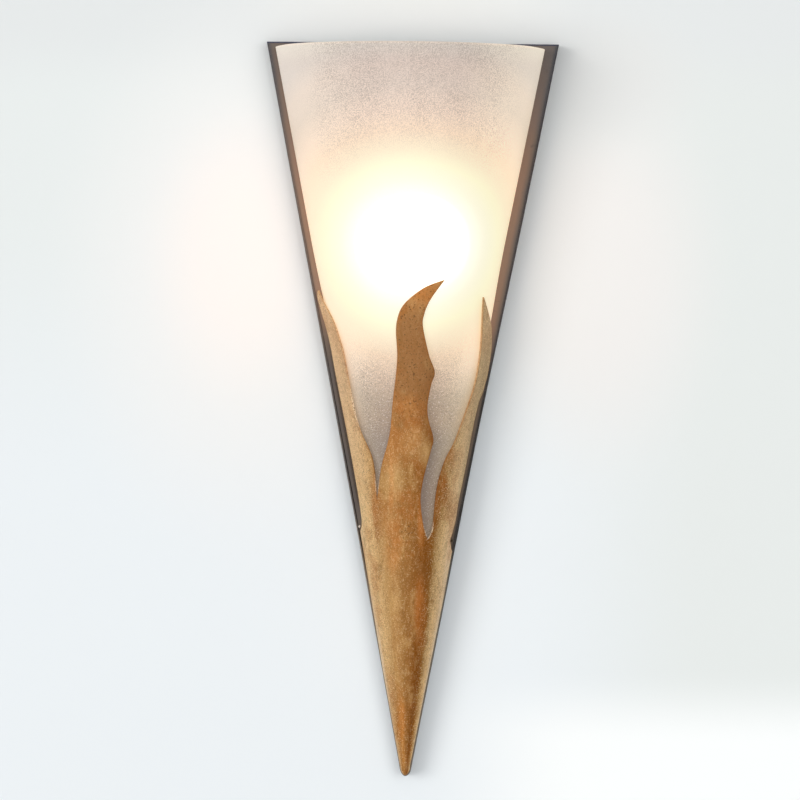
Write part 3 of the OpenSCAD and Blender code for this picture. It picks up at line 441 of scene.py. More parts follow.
def gold_leaf():
    """Worn gold: bands round the sheet that lay painted light and shade over its gold, bronze and olive: a
    lit left side, a painted dark band right of the middle, a painted reflection on the right, painted light
    on the lower edges and painted shade where the right tongue folds away. Painted highlights on some patches
    and cut edges, upright mottling, rust patches and dark flecks. share runs from -1 at the left edge of the
    sheet to 1 at its right edge."""
    f = Finish("worn_gold", Metallic=0.45, Specular_IOR_Level=0.3, Specular_Tint=(1.0, 0.74, 0.42))
    height = f.z - TIP_Z
    share = f.x / f.least(SHIELD_FOOT_R + SHIELD_SLOPE * height, PAN_FOOT_R - 0.001 + PAN_LOW_SLOPE * height)
    cloud = f.noise(32, 4, 0.6, stretch=(1.0, 1.0, 0.5))
    mottle = f.noise(105, 4, 0.65, stretch=(1.0, 1.0, 0.4))
    streak = f.noise(520, 3, 0.6, stretch=(1.0, 1.0, 0.35))
    fine = f.noise(1150, 2, 0.55, stretch=(1.0, 1.0, 0.8))

    # bands round the sheet: painted light and shade over the gold and bronze, lit on the left, a painted dark
    # band right of the middle and a painted reflection on the right; that light band on the right is drawn in
    # and out along the height
    drawn = 0.05 * f.rise(height, 0.13, 0.165) * f.rise(height, 0.22, 0.19)
    drawn = (drawn - 0.035 * f.rise(height, 0.12, 0.06)) * f.rise(share, 0.2, 0.5)
    base = f.ramp(0.5 + 0.5 * (share + drawn + (cloud - 0.5) * 0.20 + (mottle - 0.5) * 0.06), [
        (0.00, (0.83, 0.59, 0.34)), (0.06, (0.80, 0.545, 0.275)), (0.13, (0.76, 0.47, 0.21)),
        (0.18, (0.60, 0.34, 0.135)), (0.27, (0.45, 0.232, 0.075)), (0.335, (0.415, 0.214, 0.073)),
        (0.43, (0.305, 0.139, 0.036)), (0.56, (0.272, 0.103, 0.0195)), (0.66, (0.258, 0.080, 0.0070)),
        (0.735, (0.275, 0.083, 0.0070)), (0.785, (0.320, 0.113, 0.0130)), (0.835, (0.55, 0.320, 0.118)),
        (0.89, (0.77, 0.505, 0.24)), (0.955, (0.80, 0.565, 0.325)), (1.00, (0.85, 0.635, 0.42))])
    tongue = f.rise(height, 0.262, 0.330) * f.rise(f.size(share), 0.62, 0.45)
    tip = f.rise(height, 0.370, 0.400)
    base = f.mix(tongue * 0.8, base, f.mix(tip, (0.317, 0.145, 0.053), (0.64, 0.325, 0.115)))

    # worn and rusty places
    base = f.mix(f.rise(mottle, 0.50, 0.70) * 0.34 * (1 - 0.6 * tongue), base, (0.68, 0.42, 0.165))
    base = f.mix(f.rise(mottle, 0.50, 0.32) * 0.45, base, (0.26, 0.11, 0.028))
    rust = f.rise(cloud + 0.35 * f.noise(95, 4), 0.66, 0.80)
    base = f.mix(rust * 0.45, base, (0.42, 0.135, 0.025))
    ragged = f.rise(mottle + 0.6 * streak, 0.60, 0.90)
    base = f.patches(base, (0.48, 0.155, 0.028), (
        (-12, -314, 11, 26, 0.45), (11, -362, 7, 40, 0.85), (-4, -456, 5.5, 30, 0.7), (11, -290, 5, 30, 0.75),
        (23.5, -264, 4.5, 36, 0.5), (1.5, -197, 15, 15, 0.35), (14, -104, 16, 12, 0.6),
        (-27, -270, 5, 34, 0.5), (-14, -262, 3, 34, 0.6), (29.5, -263, 4.5, 20, 0.9),
        (35, -240, 4.5, 18, 0.6)), 0.45 + 0.55 * ragged)
    # pale gold patches: partly the gold's own tone, partly painted highlights where the light catches the
    # sheet
    base = f.patches(base, (0.74, 0.48, 0.20), (
        (-11, -256, 11, 26, 0.3), (-20, -330, 7, 60, 0.2), (4, -226, 17, 20, 0.2), (-16, -390, 5, 50, 0.25),
        (15, -236, 10, 16, 0.28), (-9, -355, 7, 18, 0.22)))

    # the side tongues, the left one lighter in part as painted light from the left; painted shade where the
    # right one folds away from the light; and the lower cone with painted light along its pale edges
    # pale side tongues, the left one lighter, in part painted light from the left
    sides = f.rise(f.size(share), 0.62, 0.80) * f.rise(height, 0.20, 0.33)
    base = f.mix(sides * 0.55, base, f.mix(f.rise(f.x, -0.01, 0.01), (0.70, 0.46, 0.29), (0.50, 0.345, 0.20)))
    # painted shade where the right tongue folds away from the light
    turned_away_shade = f.rise(share, 0.86, 0.97) * f.rise(height, 0.19, 0.24) * f.rise(height, 0.38, 0.33)
    base = f.mix(turned_away_shade * 0.5, base, (0.34, 0.25, 0.13))
    # painted light along the pale edges of the lower cone
    pale = f.rise(f.size(share), 0.88, 0.99) * f.rise(height, 0.16, 0.11)
    base = f.mix(pale * (0.35 + 0.35 * f.rise(height, 0.03, 0.09)), base, (0.88, 0.72, 0.52))
    low = f.rise(height, 0.095, 0.03) * f.rise(f.size(share - 0.18), 0.25, 0.40) * f.rise(share, 0.88, 0.80)
    base = f.mix(low * 0.42, base, (0.44, 0.165, 0.022))
    base = f.patches(base, (0.24, 0.088, 0.014), ((0.5, -458, 3.2, 44, 0.42),))
    base = f.patches(base, (0.26, 0.082, 0.006), ((15.5, -322, 5.5, 42, 0.35),))
    base = f.patches(base, (0.30, 0.090, 0.008), ((30, -266, 4, 18, 0.45),))

    # grain: streaks and specks, calm on the tall tongue and in the bronze band, rougher on the flanks
    bronze = f.rise(share, 0.18, 0.32) * f.rise(share, 0.68, 0.58)
    calm = 1 - 0.75 * tongue - 0.45 * bronze
    flank = f.rise(f.size(share + 0.06), 0.35, 0.75)
    for cover, strength, colour in (
            (f.rise(streak, 0.50, 0.78), 0.26 * calm + 0.10 * flank, (0.86, 0.62, 0.32)),
            (f.rise(streak, 0.48, 0.22), 0.34 + 0.12 * flank - 0.12 * bronze, (0.18, 0.08, 0.022)),
            (f.rise(fine, 0.54, 0.72), 0.28 * calm + 0.52 * flank, (0.98, 0.76, 0.44)),
            (f.rise(fine, 0.46, 0.28), 0.34 + 0.34 * flank - 0.12 * bronze, (0.16, 0.07, 0.02))):
        base = f.mix(cover * strength, base, colour)
    flecks = f.rise(f.noise(760, 2, 0.5), 0.60, 0.68)
    base = f.mix(flecks * (0.3 + 0.5 * f.patch(-2, -298, 12, 12) + 0.5 * tongue), base, (0.09, 0.045, 0.018))

    # the cut edges: a rusty line, and a painted highlight on them near the valleys and along the left
    # tongue's inner edge
    edge = f.attribute("rim")
    rim = f.rise(edge + 1.6 * (cloud + mottle - 1), 2.0, 0.1) * (0.40 - 0.25 * f.rise(f.x, -0.02, -0.04))
    base = f.mix(rim, base, (0.34, 0.125, 0.030))
    painted_glint = f.patch(17, -300, 9, 15) + f.patch(-43, -196, 9, 24) + 0.6 * f.patch(-26, -262, 6, 12)
    base = f.mix(f.rise(edge, 0.7, 0.2) * painted_glint * f.rise(fine, 0.40, 0.55), base, (1.0, 0.82, 0.58))
    f.colour(base)
    f.roughness(0.42 + 0.22 * fine - 0.08 * mottle)
    f.bump(0.5 * streak + 0.5 * fine, 0.0004, 0.5)
    return f.material


def lit_glass():
    """Frosted glass lit from inside. The glow falls off with the distance from the lamp, the sides and the
    cut edges are creamier, and a fine grain of specks shows where the light is weak."""
    f = Finish("frosted_glass", Metallic=0.0, Roughness=0.5, Emission_Strength=4.0, Specular_IOR_Level=0.35)
    away = f.from_lamp(1.3)
    glow = f.ramp((away - 0.04) / 0.14, [
        (0.00, (1.0, 0.97, 0.82)), (0.08, (0.50, 0.48, 0.40)), (0.15, (0.21, 0.205, 0.165)),
        (0.21, (0.175, 0.172, 0.125)), (0.29, (0.168, 0.162, 0.098)), (0.36, (0.155, 0.130, 0.078)),
        (0.46, (0.143, 0.099, 0.056)), (0.57, (0.112, 0.076, 0.047)), (0.70, (0.060, 0.040, 0.023)),
        (0.82, (0.047, 0.028, 0.014)), (0.94, (0.018, 0.010, 0.005))])

    # more light towards the top, the sides and the cut edges
    glow = f.add(glow, f.rise(f.z, 0.0, 0.075), (0.047, 0.044, 0.043))
    glow = f.add(glow, f.rise(f.z, 0.080, 0.096), (0.014, 0.017, 0.012))
    share = f.size(f.x) / glass_r(f.z - TIP_Z)
    outside = f.rise(away, 0.07, 0.12)
    cream = f.mix(f.rise(f.x, -0.02, 0.02), (0.042, 0.040, 0.032), (0.060, 0.054, 0.038))
    glow = f.add(glow, f.rise(share, 0.30, 0.80) * outside, cream)
    cut = 0.6 * f.rise(f.z, 0.0952, 0.0966) + f.rise(f.y, -0.0245, -0.0232)
    glow = f.add(glow, cut * outside, (0.040, 0.024, 0.012))

    # specks where the light is weak
    weak = f.rise(away - 0.006 * f.rise(f.z, -0.06, -0.12), 0.078, 0.122)
    weak = weak * (0.2 + 0.8 * f.rise(share, 0.92, 0.62))
    low = f.rise(f.z, -0.135, -0.205)
    cluster = f.rise(f.noise(40, 4, 0.6), 0.34, 0.62)
    specks = f.rise(f.noise(1300, 2, 0.6), 0.58, 0.40) * weak * (0.7 + 0.4 * cluster)
    dots = f.rise(f.noise(980, 1, 0.5), 0.36, 0.28) * weak * 0.5
    glow = f.mix(specks * (0.50 + 0.16 * low), glow, (0.022, 0.014, 0.009))
    f.give(f.shader, "Emission Color", f.mix(dots, glow, BLACK))
    base = f.mix(low, (0.37, 0.325, 0.305), (0.235, 0.200, 0.172))
    base = f.mix(specks * (0.40 + 0.20 * low), base, (0.17, 0.13, 0.11))
    sparkle = f.rise(f.noise(1150, 1, 0.5), 0.62, 0.72) * (0.12 * weak + 0.5 * f.rise(f.z, -0.12, -0.18))
    f.colour(f.mix(sparkle, base, (0.75, 0.70, 0.68)))
    f.bump(f.noise(1300, 2), 0.00015, 0.6)
    return f.material


def plated(name, light, dark, rough=0.32, brushed=1.0):
    """Plated or turned metal: two tones drift, fine lines run upright where brushed is below 1, and small
    stains dull it."""
    f = Finish(name, Metallic=1.0)
    drift = f.noise(70, 4)
    lines = f.noise(1500, 2, 0.5, stretch=(1.0, 1.0, brushed))
    base = f.mix(f.rise(drift, 0.35, 0.68), light, dark)
    base = f.mix(f.rise(lines, 0.5, 0.8) * 0.3, base, tuple(0.6 * c for c in dark))
    f.colour(base)
    f.roughness(rough + 0.16 * drift + 0.12 * lines)
    f.bump(lines, 0.00008, 0.5)
    return f.material


def braze_drop():
    """Braze left as drops: a painted bright highlight on the left, where the light falls, and painted dark
    shade on the right.
    """
    f = Finish("braze", Metallic=0.6)
    cloud = f.noise(900, 3)
    lit_side_glint = f.mix(cloud, (0.95, 0.86, 0.78), (0.80, 0.66, 0.52))
    shaded_side = f.mix(cloud, (0.10, 0.07, 0.04), (0.05, 0.035, 0.02))
    f.colour(f.mix(f.rise(f.x, -0.01, 0.01), lit_side_glint, shaded_side))
    f.roughness(0.35 + 0.2 * cloud)
    f.bump(cloud, 0.00008, 0.5)
    return f.material


def moulded(name, base, tint, rough=0.45, grain=900):
    """Moulded plastic, rubber or glaze: a faint cloud of a second tone and a fine even texture."""
    f = Finish(name)
    cloud, fine = f.noise(45, 4), f.noise(grain, 2)
    base = f.mix(f.rise(cloud, 0.35, 0.7), base, tint)
    speck = tuple(min(1.0, 1.5 * c + 0.01) for c in tint)
    f.colour(f.mix(f.rise(fine, 0.55, 0.8) * 0.25, base, speck))
    f.roughness(rough + 0.15 * cloud + 0.08 * fine)
    f.bump(fine, 0.00006, 0.5)
    return f.material


def striped_lead():
    """Green insulation with one yellow stripe along it: the side that faces the room is yellow."""
    f = Finish("lead_earth", Roughness=0.42)
    fine = f.noise(1200, 2)
    stripe = f.rise(f.x + 0.0002 * (fine - 0.5), 0.00018, 0.00028)
    f.colour(f.mix(stripe, f.mix(fine, (0.05, 0.22, 0.04), (0.07, 0.28, 0.05)), (0.70, 0.60, 0.04)))
    f.bump(fine, 0.00005, 0.4)
    return f.material


def lit_lamp(name, colour, strength):
    """Opal lamp glass, brightest round its middle, with a faint cloudiness."""
    f = Finish(name, Roughness=0.25, Emission_Strength=strength)
    cloud = f.noise(60, 3)
    f.colour((0.85, 0.82, 0.75))
    tone = f.mix(f.rise(f.from_lamp(), 0.018, 0.040), colour, tuple(0.5 * c for c in colour))
    f.give(f.shader, "Emission Color", f.mix(0.15 * cloud, tone, (1.0, 0.85, 0.6)))
    f.bump(cloud, 0.0001, 0.2)
    return f.material


FINISH = {
    "pan_brown": pan_paint(),
    "worn_gold": gold_leaf(),
    "frosted_glass": lit_glass(),
    "zinc_steel": plated("zinc_steel", (0.62, 0.62, 0.60), (0.48, 0.49, 0.48), 0.30, 0.08),
    "brass_parts": plated("brass_parts", (0.78, 0.58, 0.27), (0.62, 0.43, 0.18), 0.26, 0.1),
    "braze": braze_drop(),
    "cap_nickel": plated("cap_nickel", (0.72, 0.69, 0.62), (0.58, 0.55, 0.48), 0.25, 0.1),
    "solder": plated("solder", (0.66, 0.66, 0.66), (0.50, 0.50, 0.51), 0.38),
    "tungsten": plated("tungsten", (0.9, 0.7, 0.45), (0.8, 0.5, 0.25), 0.4),
    "grommet_rubber": moulded("grommet_rubber", (0.022, 0.022, 0.022), (0.035, 0.035, 0.036), 0.6),
    "block_nylon": moulded("block_nylon", (0.80, 0.78, 0.70), (0.74, 0.71, 0.62), 0.4),
    "lead_brown": moulded("lead_brown", (0.16, 0.075, 0.04), (0.12, 0.055, 0.03), 0.38),
    "lead_blue": moulded("lead_blue", (0.045, 0.16, 0.45), (0.035, 0.12, 0.36), 0.38),
    "lead_earth": striped_lead(),
    "black_holder": moulded("black_holder", (0.02, 0.02, 0.02), (0.035, 0.034, 0.033), 0.4),
    "holder_ceramic": moulded("holder_ceramic", (0.86, 0.84, 0.79), (0.80, 0.77, 0.71), 0.16, 300),
    "cushion_silicone": moulded("cushion_silicone", (0.74, 0.74, 0.71), (0.66, 0.66, 0.63), 0.5),
    "clear_pad": moulded("clear_pad", (0.80, 0.81, 0.80), (0.70, 0.72, 0.71), 0.2),
    "black_glass": moulded("black_glass", (0.015, 0.015, 0.02), (0.03, 0.03, 0.035), 0.1, 300),
    "stem_glass": moulded("stem_glass", (0.75, 0.80, 0.80), (0.66, 0.72, 0.72), 0.1, 300),
    "opal_lamp_glass": lit_lamp("opal_lamp_glass", (1.0, 0.93, 0.76), 2.5),
}

# ---- flame shield -------------------------------------------------------------------------------

# Each line runs up one cut edge: share of the shield's height, share of its half width there.
# The left valley lies where LEFT_INNER meets CENTRE_LEFT, the right one where CENTRE_RIGHT meets RIGHT_INNER.
LEFT_OUTER = [(-0.02, -1), (0.45, -1), (0.487, -0.997), (0.498, -0.975), (0.505, -0.950),
              (0.5175, -0.930), (0.53, -0.925), (0.56, -0.922), (0.62, -0.934), (0.68, -0.948),
              (0.72, -0.960), (0.80, -0.982), (0.855, -0.990), (0.88, -0.996), (0.91, -1.014),
              (0.93, -1.030), (0.95, -1.044), (0.968, -1.052), (0.979, -1.036)]
LEFT_INNER = [(0.557, -0.586), (0.586, -0.582), (0.622, -0.586), (0.65, -0.618), (0.683, -0.712),
              (0.703, -0.757), (0.725, -0.785), (0.753, -0.806), (0.804, -0.825), (0.851, -0.842),
              (0.88, -0.869), (0.918, -0.916), (0.949, -0.982), (0.968, -1.016), (0.979, -1.030)]
CENTRE_LEFT = [(0.557, -0.586), (0.602, -0.506), (0.634, -0.44), (0.667, -0.35), (0.702, -0.282),
               (0.754, -0.237), (0.805, -0.187), (0.847, -0.16), (0.898, -0.17), (0.924, -0.148),
               (0.946, -0.095), (0.965, 0.008), (0.986, 0.169), (1.0, 0.362)]
CENTRE_RIGHT = [(0.481, 0.42), (0.504, 0.329), (0.532, 0.262), (0.565, 0.228), (0.605, 0.263),
                (0.662, 0.36), (0.684, 0.378), (0.722, 0.283), (0.752, 0.26), (0.791, 0.293),
                (0.817, 0.33), (0.85, 0.244), (0.906, 0.154), (0.932, 0.163), (0.961, 0.226),
                (1.0, 0.368)]
RIGHT_INNER = [(0.481, 0.42), (0.498, 0.5), (0.543, 0.508), (0.572, 0.512), (0.603, 0.538),
               (0.643, 0.615), (0.676, 0.72), (0.727, 0.809), (0.768, 0.865), (0.802, 0.893),
               (0.843, 0.895), (0.883, 0.88), (0.935, 0.843), (0.968, 0.823)]
RIGHT_OUTER = [(-0.02, 1), (0.42, 1), (0.4367, 0.997), (0.4569, 0.974), (0.467, 0.948), (0.474, 0.920),
               (0.479, 0.911), (0.486, 0.920), (0.4973, 0.936), (0.5175, 0.950), (0.5377, 0.949),
               (0.558, 0.946), (0.5984, 0.957), (0.6388, 0.965), (0.6793, 0.966), (0.7197, 0.971),
               (0.742, 0.980), (0.7601, 0.990), (0.777, 1.016), (0.80, 1.033), (0.813, 1.038),
               (0.842, 1.034), (0.873, 1.018), (0.908, 0.976), (0.935, 0.914), (0.968, 0.827)]
# Past this share of the half width the side tongues leave the round and run straight out
FLARE = 0.93
FLARE_SLOPE = FLARE / math.sqrt(1 - FLARE**2)


def edge_share(edge, height):
    """The half width share of a cut edge at each height, read along its smooth line."""
    line = smooth_line(edge, 10)
    return np.interp(height / SHIELD_H, line[:, 0], line[:, 1])


def bend(share):
    """Length along the bent section at a share of the half width: asin(share) up to FLARE and then a straight
    line with FLARE_SLOPE."""
    reach = np.abs(share)
    arc = np.arcsin(np.minimum(reach, FLARE)) + np.maximum(reach - FLARE, 0) * math.hypot(1, FLARE_SLOPE)
    return np.sign(share) * arc


def unbend(length):
    """The share of the half width and of the depth at a length along that section, the reverse of bend."""
    knee = math.asin(FLARE)
    arc = np.minimum(np.abs(length), knee)
    run = np.maximum(np.abs(length) - knee, 0) / math.hypot(1, FLARE_SLOPE)
    return np.sign(length) * (np.sin(arc) + run), np.cos(arc) - run * FLARE_SLOPE


def sheet_strip(height, low_share, high_share, cols, shoulder):
    """Points of one strip of the sheet: columns spread along the bent section from one edge to the other, at
    (share * radius, -depth share * radius). Below the shoulder the section is a half circle, above it the
    flared one, with an easy step between them."""
    across = np.linspace(0, 1, cols)[None]

    def spread(lengths):
        low, high = lengths(low_share)[:, None], lengths(high_share)[:, None]
        return low + across * (high - low)

    circle = spread(lambda share: np.arcsin(np.clip(share, -1, 1)))
    flared_x, flared_depth = unbend(spread(bend))
    flared = ease((height / SHIELD_H - shoulder) / 0.08)[:, None]
    x = np.sin(circle) + (flared_x - np.sin(circle)) * flared
    depth = np.cos(circle) + (flared_depth - np.cos(circle)) * flared
    radius = shield_r(height)[:, None]
    return np.stack([
        inside_pan(x * radius, height[:, None]), FACE_Y - depth * radius, TIP_Z + height[:, None] + 0 * x
    ], -1)


def rim_mark(points, left_open, right_open):
    """Millimetres from each point of a strip to the nearer cut edge, 6 at the most. A side that isn't open
    at a row counts as far off."""
    far = 50
    left = np.linalg.norm(points - points[:, :1], axis=2) * 1000 + np.where(left_open, 0, far)[:, None]
    right = np.linalg.norm(points - points[:, -1:], axis=2) * 1000 + np.where(right_open, 0, far)[:, None]
    return np.minimum(np.minimum(left, right), 6)


def shield():
    """The sheet as three strips, left, centre and right. They share their edges up to the valleys between the
    tongues and part above them. Each strip has a row at every height of its list, edge_share giving its ends,
    and below those the rows of the pan's rounded foot."""
    valley_l, valley_r = LEFT_INNER[0][0] * SHIELD_H, RIGHT_INNER[0][0] * SHIELD_H
    mid_l, mid_r = LEFT_INNER[0][1], RIGHT_INNER[0][1]
    foot = np.linspace(0.0086, valley_r, 90)
    step = np.linspace(valley_r, valley_l, 18)[1:]
    left_h = np.concatenate([foot, step, np.linspace(valley_l, LEFT_INNER[-1][0] * SHIELD_H, 90)[1:]])
    centre_h = np.concatenate([foot, step, np.linspace(valley_l, SHIELD_H, 110)[1:]])
    right_h = np.concatenate([foot, np.linspace(valley_r, RIGHT_INNER[-1][0] * SHIELD_H, 110)[1:]])
    rows, marks = [], []
    for heights, low_edge, high_edge, cols, shoulder, low, high, left_from, right_from in (
            (left_h, LEFT_OUTER, LEFT_INNER, 26, 0.50, -1, mid_l, 0, valley_l),
            (centre_h, CENTRE_LEFT, CENTRE_RIGHT, 36, 2.0, mid_l, mid_r, valley_l, valley_r),
            (right_h, RIGHT_INNER, RIGHT_OUTER, 26, 0.47, mid_r, 1, valley_r, 0)):
        ends = edge_share(low_edge, heights), edge_share(high_edge, heights)
        strip = sheet_strip(heights, *ends, cols, shoulder)
        turn = np.linspace(math.asin(low), math.asin(high), cols)
        narrow = np.maximum(TIP_R[:, None] - np.where(turn < 0, 0.0005, 0.0010), 0)
        cap = np.stack([narrow * np.sin(turn), FACE_Y - TIP_R[:, None] * np.cos(turn),
                        TIP_Z + TIP_H[:, None] + 0.0005 + 0 * turn], -1)
        rows.append(np.concatenate([cap, strip]))
        above = np.concatenate([np.full(len(TIP_H), -1.0), heights])
        marks.append(rim_mark(rows[-1], above >= left_from, above >= right_from))
    made = piece("flame_sheet", rows, "worn_gold", "wall_light", "flame_shield", outward=False,
                 marks={"rim": marks}, crease=50)
    face_front(made)
    thicken(made, SHIELD_T, 0.0003, 2)


shield()


def drop(x, z, wide, tall):
    """A drop of braze on the rim: (wide * cos, z + tall * sin) from pole to pole, carried round an axis."""
    swing = np.linspace(-np.pi / 2, np.pi / 2, 13)
    return turned(np.stack([wide * np.cos(swing), z + tall * np.sin(swing)], 1), 20, (x, FACE_Y - 0.0004))


piece("braze_drops", [drop(-0.0397, -0.2955, 0.0009, 0.0013), drop(0.0364, -0.3065, 0.0010, 0.0012)],
      "braze", "wall_light", "braze_beads", ring=True)

# ---- glass shade --------------------------------------------------------------------------------


def glass():
    """The outside of the glass, a half cone: (radius * sin turn, -radius * cos turn) at each height, with
    columns that crowd towards its straight edges. The top edge drops by a quarter circle at each corner, a
    small one on the left and a wider one on the right. Above the tongues it leans to the left."""
    u = np.sin(np.linspace(-1, 1, 181) * np.pi / 2)
    crowded = 1 - 0.1 * (1 - np.linspace(0, 1, 25)[1:]) ** 1.5
    share = np.concatenate([np.linspace(0, 0.9, 30), crowded])[:, None]
    corner = np.where(u < 0, 0.0028, 0.0045)
    away = (1 - np.abs(u)) * np.pi / 2 * glass_r(GLASS_TOP)
    sunk = corner - np.sqrt(np.maximum(corner**2 - np.maximum(corner - away, 0) ** 2, 0))
    height = GLASS_FOOT + (GLASS_TOP - sunk - GLASS_FOOT) * share
    radius = glass_r(height)
    turn = u * np.arccos(GLASS_BACK / radius)
    lean = -GLASS_LEAN * ease((height - 0.34) / 0.10)
    points = np.stack([lean + radius * np.sin(turn), FACE_Y - radius * np.cos(turn), TIP_Z + height], -1)
    made = piece("glass_shell", [points], "frosted_glass", "glass", "glass_shade", outward=False, crease=50)
    face_front(made)
    thicken(made, GLASS_T, 0.0007, 3)


glass()

# ---- lamp and holder ----------------------------------------------------------------------------


def helix(radius, low, high, steps=72, rows_per_turn=14):
    """A rolled thread as a skin: radius - THREAD_DEPTH * (1 - wave * fade), where the wave rises and falls
    once per PITCH, later as the angle grows, and fades to a plain rim over half a turn at each end."""
    turn = np.arange(steps) / steps * 2 * np.pi
    z = np.linspace(low, high, int((high - low) / PITCH * rows_per_turn))[:, None]
    wave = 0.5 - 0.5 * np.cos(2 * np.pi * ((z - low) / PITCH - turn / (2 * np.pi)))
    fade = np.clip(np.minimum(z - low, high - z) / (0.5 * PITCH), 0, 1)
    r = radius - THREAD_DEPTH * (1 - wave**0.8 * fade)
    return np.stack([r * np.cos(turn), LAMP_Y + r * np.sin(turn), z + 0 * turn], -1)


def two_sided(skin):
    """A closed band from a skin of rings: the same rings again in reverse, each point drawn in towards the
    lamp's axis by THREAD_SHEET, and the first ring once more."""
    centre = np.array([0, LAMP_Y, 0])
    out = skin - centre
    flat = np.linalg.norm(out[..., :2], axis=-1, keepdims=True)
    inner = skin.copy()
    inner[..., :2] = (out * (1 - THREAD_SHEET / flat))[..., :2] + centre[:2]
    return np.concatenate([skin, inner[::-1], skin[:1]])


def opal_globe():
    """The lamp's envelope: a neck that flares into a round, (GLOBE_R * cos, GLOBE_R * sin), carried round the
    lamp's axis, with a wall of GLOBE_T drawn inside it."""
    turn = np.linspace(-math.asin(0.76), math.pi / 2, 60)
    round_part = np.stack([GLOBE_R * np.cos(turn), LAMP_Z + GLOBE_R * np.sin(turn)], 1)
    neck_r = 0.0059
    neck = smooth_line([(neck_r, CAP_HIGH - 0.005), (neck_r, CAP_HIGH + 0.0005),
                        (neck_r + 0.0016, CAP_HIGH + 0.004), tuple(round_part[0])], 8)[:-1]
    outside = np.vstack([neck, round_part])
    inside = outside.copy()
    inside[:, 0] = np.maximum(inside[:, 0] - GLOBE_T, 0)
    inside[:, 1] = np.minimum(inside[:, 1], LAMP_Z + GLOBE_R - GLOBE_T)
    piece("opal_globe", [turned(np.vstack([outside, inside[::-1], outside[:1]]))], "opal_lamp_glass", "lamp",
          "lamp_globe", ring=True)


opal_globe()
piece("rolled_cap", [two_sided(helix(CAP_R, CAP_LOW, CAP_HIGH - 0.001))], "cap_nickel", "lamp", "lamp_cap",
      ring=True)
piece("threaded_shell", [two_sided(helix(SHELL_R + THREAD_SHEET, SHELL_LOW, SHELL_HIGH))], "brass_parts",
      "wall_light", "screw_shell", ring=True)

# ---- leads --------------------------------------------------------------------------------------

WIRE_Y = FACE_Y + PAN_SHEET + 0.0055
BARREL_Y = FACE_Y + PAN_SHEET + 0.0019


def lead(name, finish, node, route):
    """One insulated lead along its route."""
    piece(name, [tube(route, LEAD_R)], finish, "wall_light", node, ring=True)


def lamp_route(pole, side):
    """The route of a lead from its pole down the pan, out through the grommet and up the hollow nipple:
    across the light, into the room, and the height in millimetres at each turn."""
    x = side * 0.0016
    return [(across, y, up / 1000 + TIP_Z) for across, y, up in (
        (pole, WIRE_Y, 404), (pole, WIRE_Y, 391), (pole, -0.011, 370), (side * 0.009, -0.009, 334),
        (side * 0.0045, -0.009, 305), (x, -0.011, 289), (x, -0.0188, 285), (x, -0.026, 285),
        (x, -0.036, 289), (x, -0.050, 305), (x, -0.0568, 326.5), (x, LAMP_Y, 336.5), (x, LAMP_Y, 352),
        (x, LAMP_Y, 364))]


lead("brown_lead", "lead_brown", "live_lead", lamp_route(-0.010, -1))
lead("blue_lead", "lead_blue", "neutral_lead", lamp_route(0.010, 1))
lead("green_lead", "lead_earth", "earth_lead", [
    (0, WIRE_Y, -0.096), (0, WIRE_Y, -0.106), (0, BARREL_Y + 0.001, -0.116), (0, BARREL_Y, -0.119),
    (0, BARREL_Y, -0.125)])

# ---- pieces kept from the model -----------------------------------------------------------------


def folded_pan():
    """The pan's own shape, welded so that its folds shade smoothly and cut across at a few heights. There its
    blunt foot is drawn in to a round tip, its right flange bends in by RIGHT_BOW * exp(-((height - 276 mm) /
    130 mm)^2), and its top stands higher by TOP_RAISED."""
    mesh = frame["nodes"]["back_pan"].data.copy()
    mesh.materials.clear()
    bm = bmesh.new()
    bm.from_mesh(mesh)
    bmesh.ops.remove_doubles(bm, verts=bm.verts, dist=MERGE / 2)
    for height in (*TIP_H[1:], *PAN_CUTS):
        whole = bm.verts[:] + bm.edges[:] + bm.faces[:]
        bmesh.ops.bisect_plane(bm, geom=whole, dist=1e-7, plane_co=(0, 0, TIP_Z + height), plane_no=(0, 0, 1))
    bm.to_mesh(mesh)
    bm.free()
    points = np.zeros(len(mesh.vertices) * 3)
    mesh.vertices.foreach_get("co", points)
    points = points.reshape(-1, 3)
    height = points[:, 2] - TIP_Z
    half = pan_half(height)
    points[:, 0] *= np.where(height < TIP_H[-1], np.interp(height, TIP_H, TIP_R) / half, 1)
    bow = RIGHT_BOW * np.exp(-(((height - 0.276) / 0.13) ** 2))
    points[:, 0] -= bow * np.clip(points[:, 0] / half, 0, 1) ** 2
    points[:, 2] += TOP_RAISED * np.clip((height - 0.5) / 0.1, 0, 1)
    mesh.vertices.foreach_set("co", points.astype(np.float32).ravel())
    mesh.update()
    dress("folded_pan", mesh, "pan_brown", "wall_light", "back_pan", 30)


folded_pan()
SLOTS = {part["node"]: part["material_slot"] for part in frame["record"]["subparts"]}
for node, thing in frame["nodes"].items():
    if not thing.hide_render:
        thing.data.materials.clear()
        thing.data.materials.append(FINISH[SLOTS[node]])

# ---- wall, light and camera ---------------------------------------------------------------------


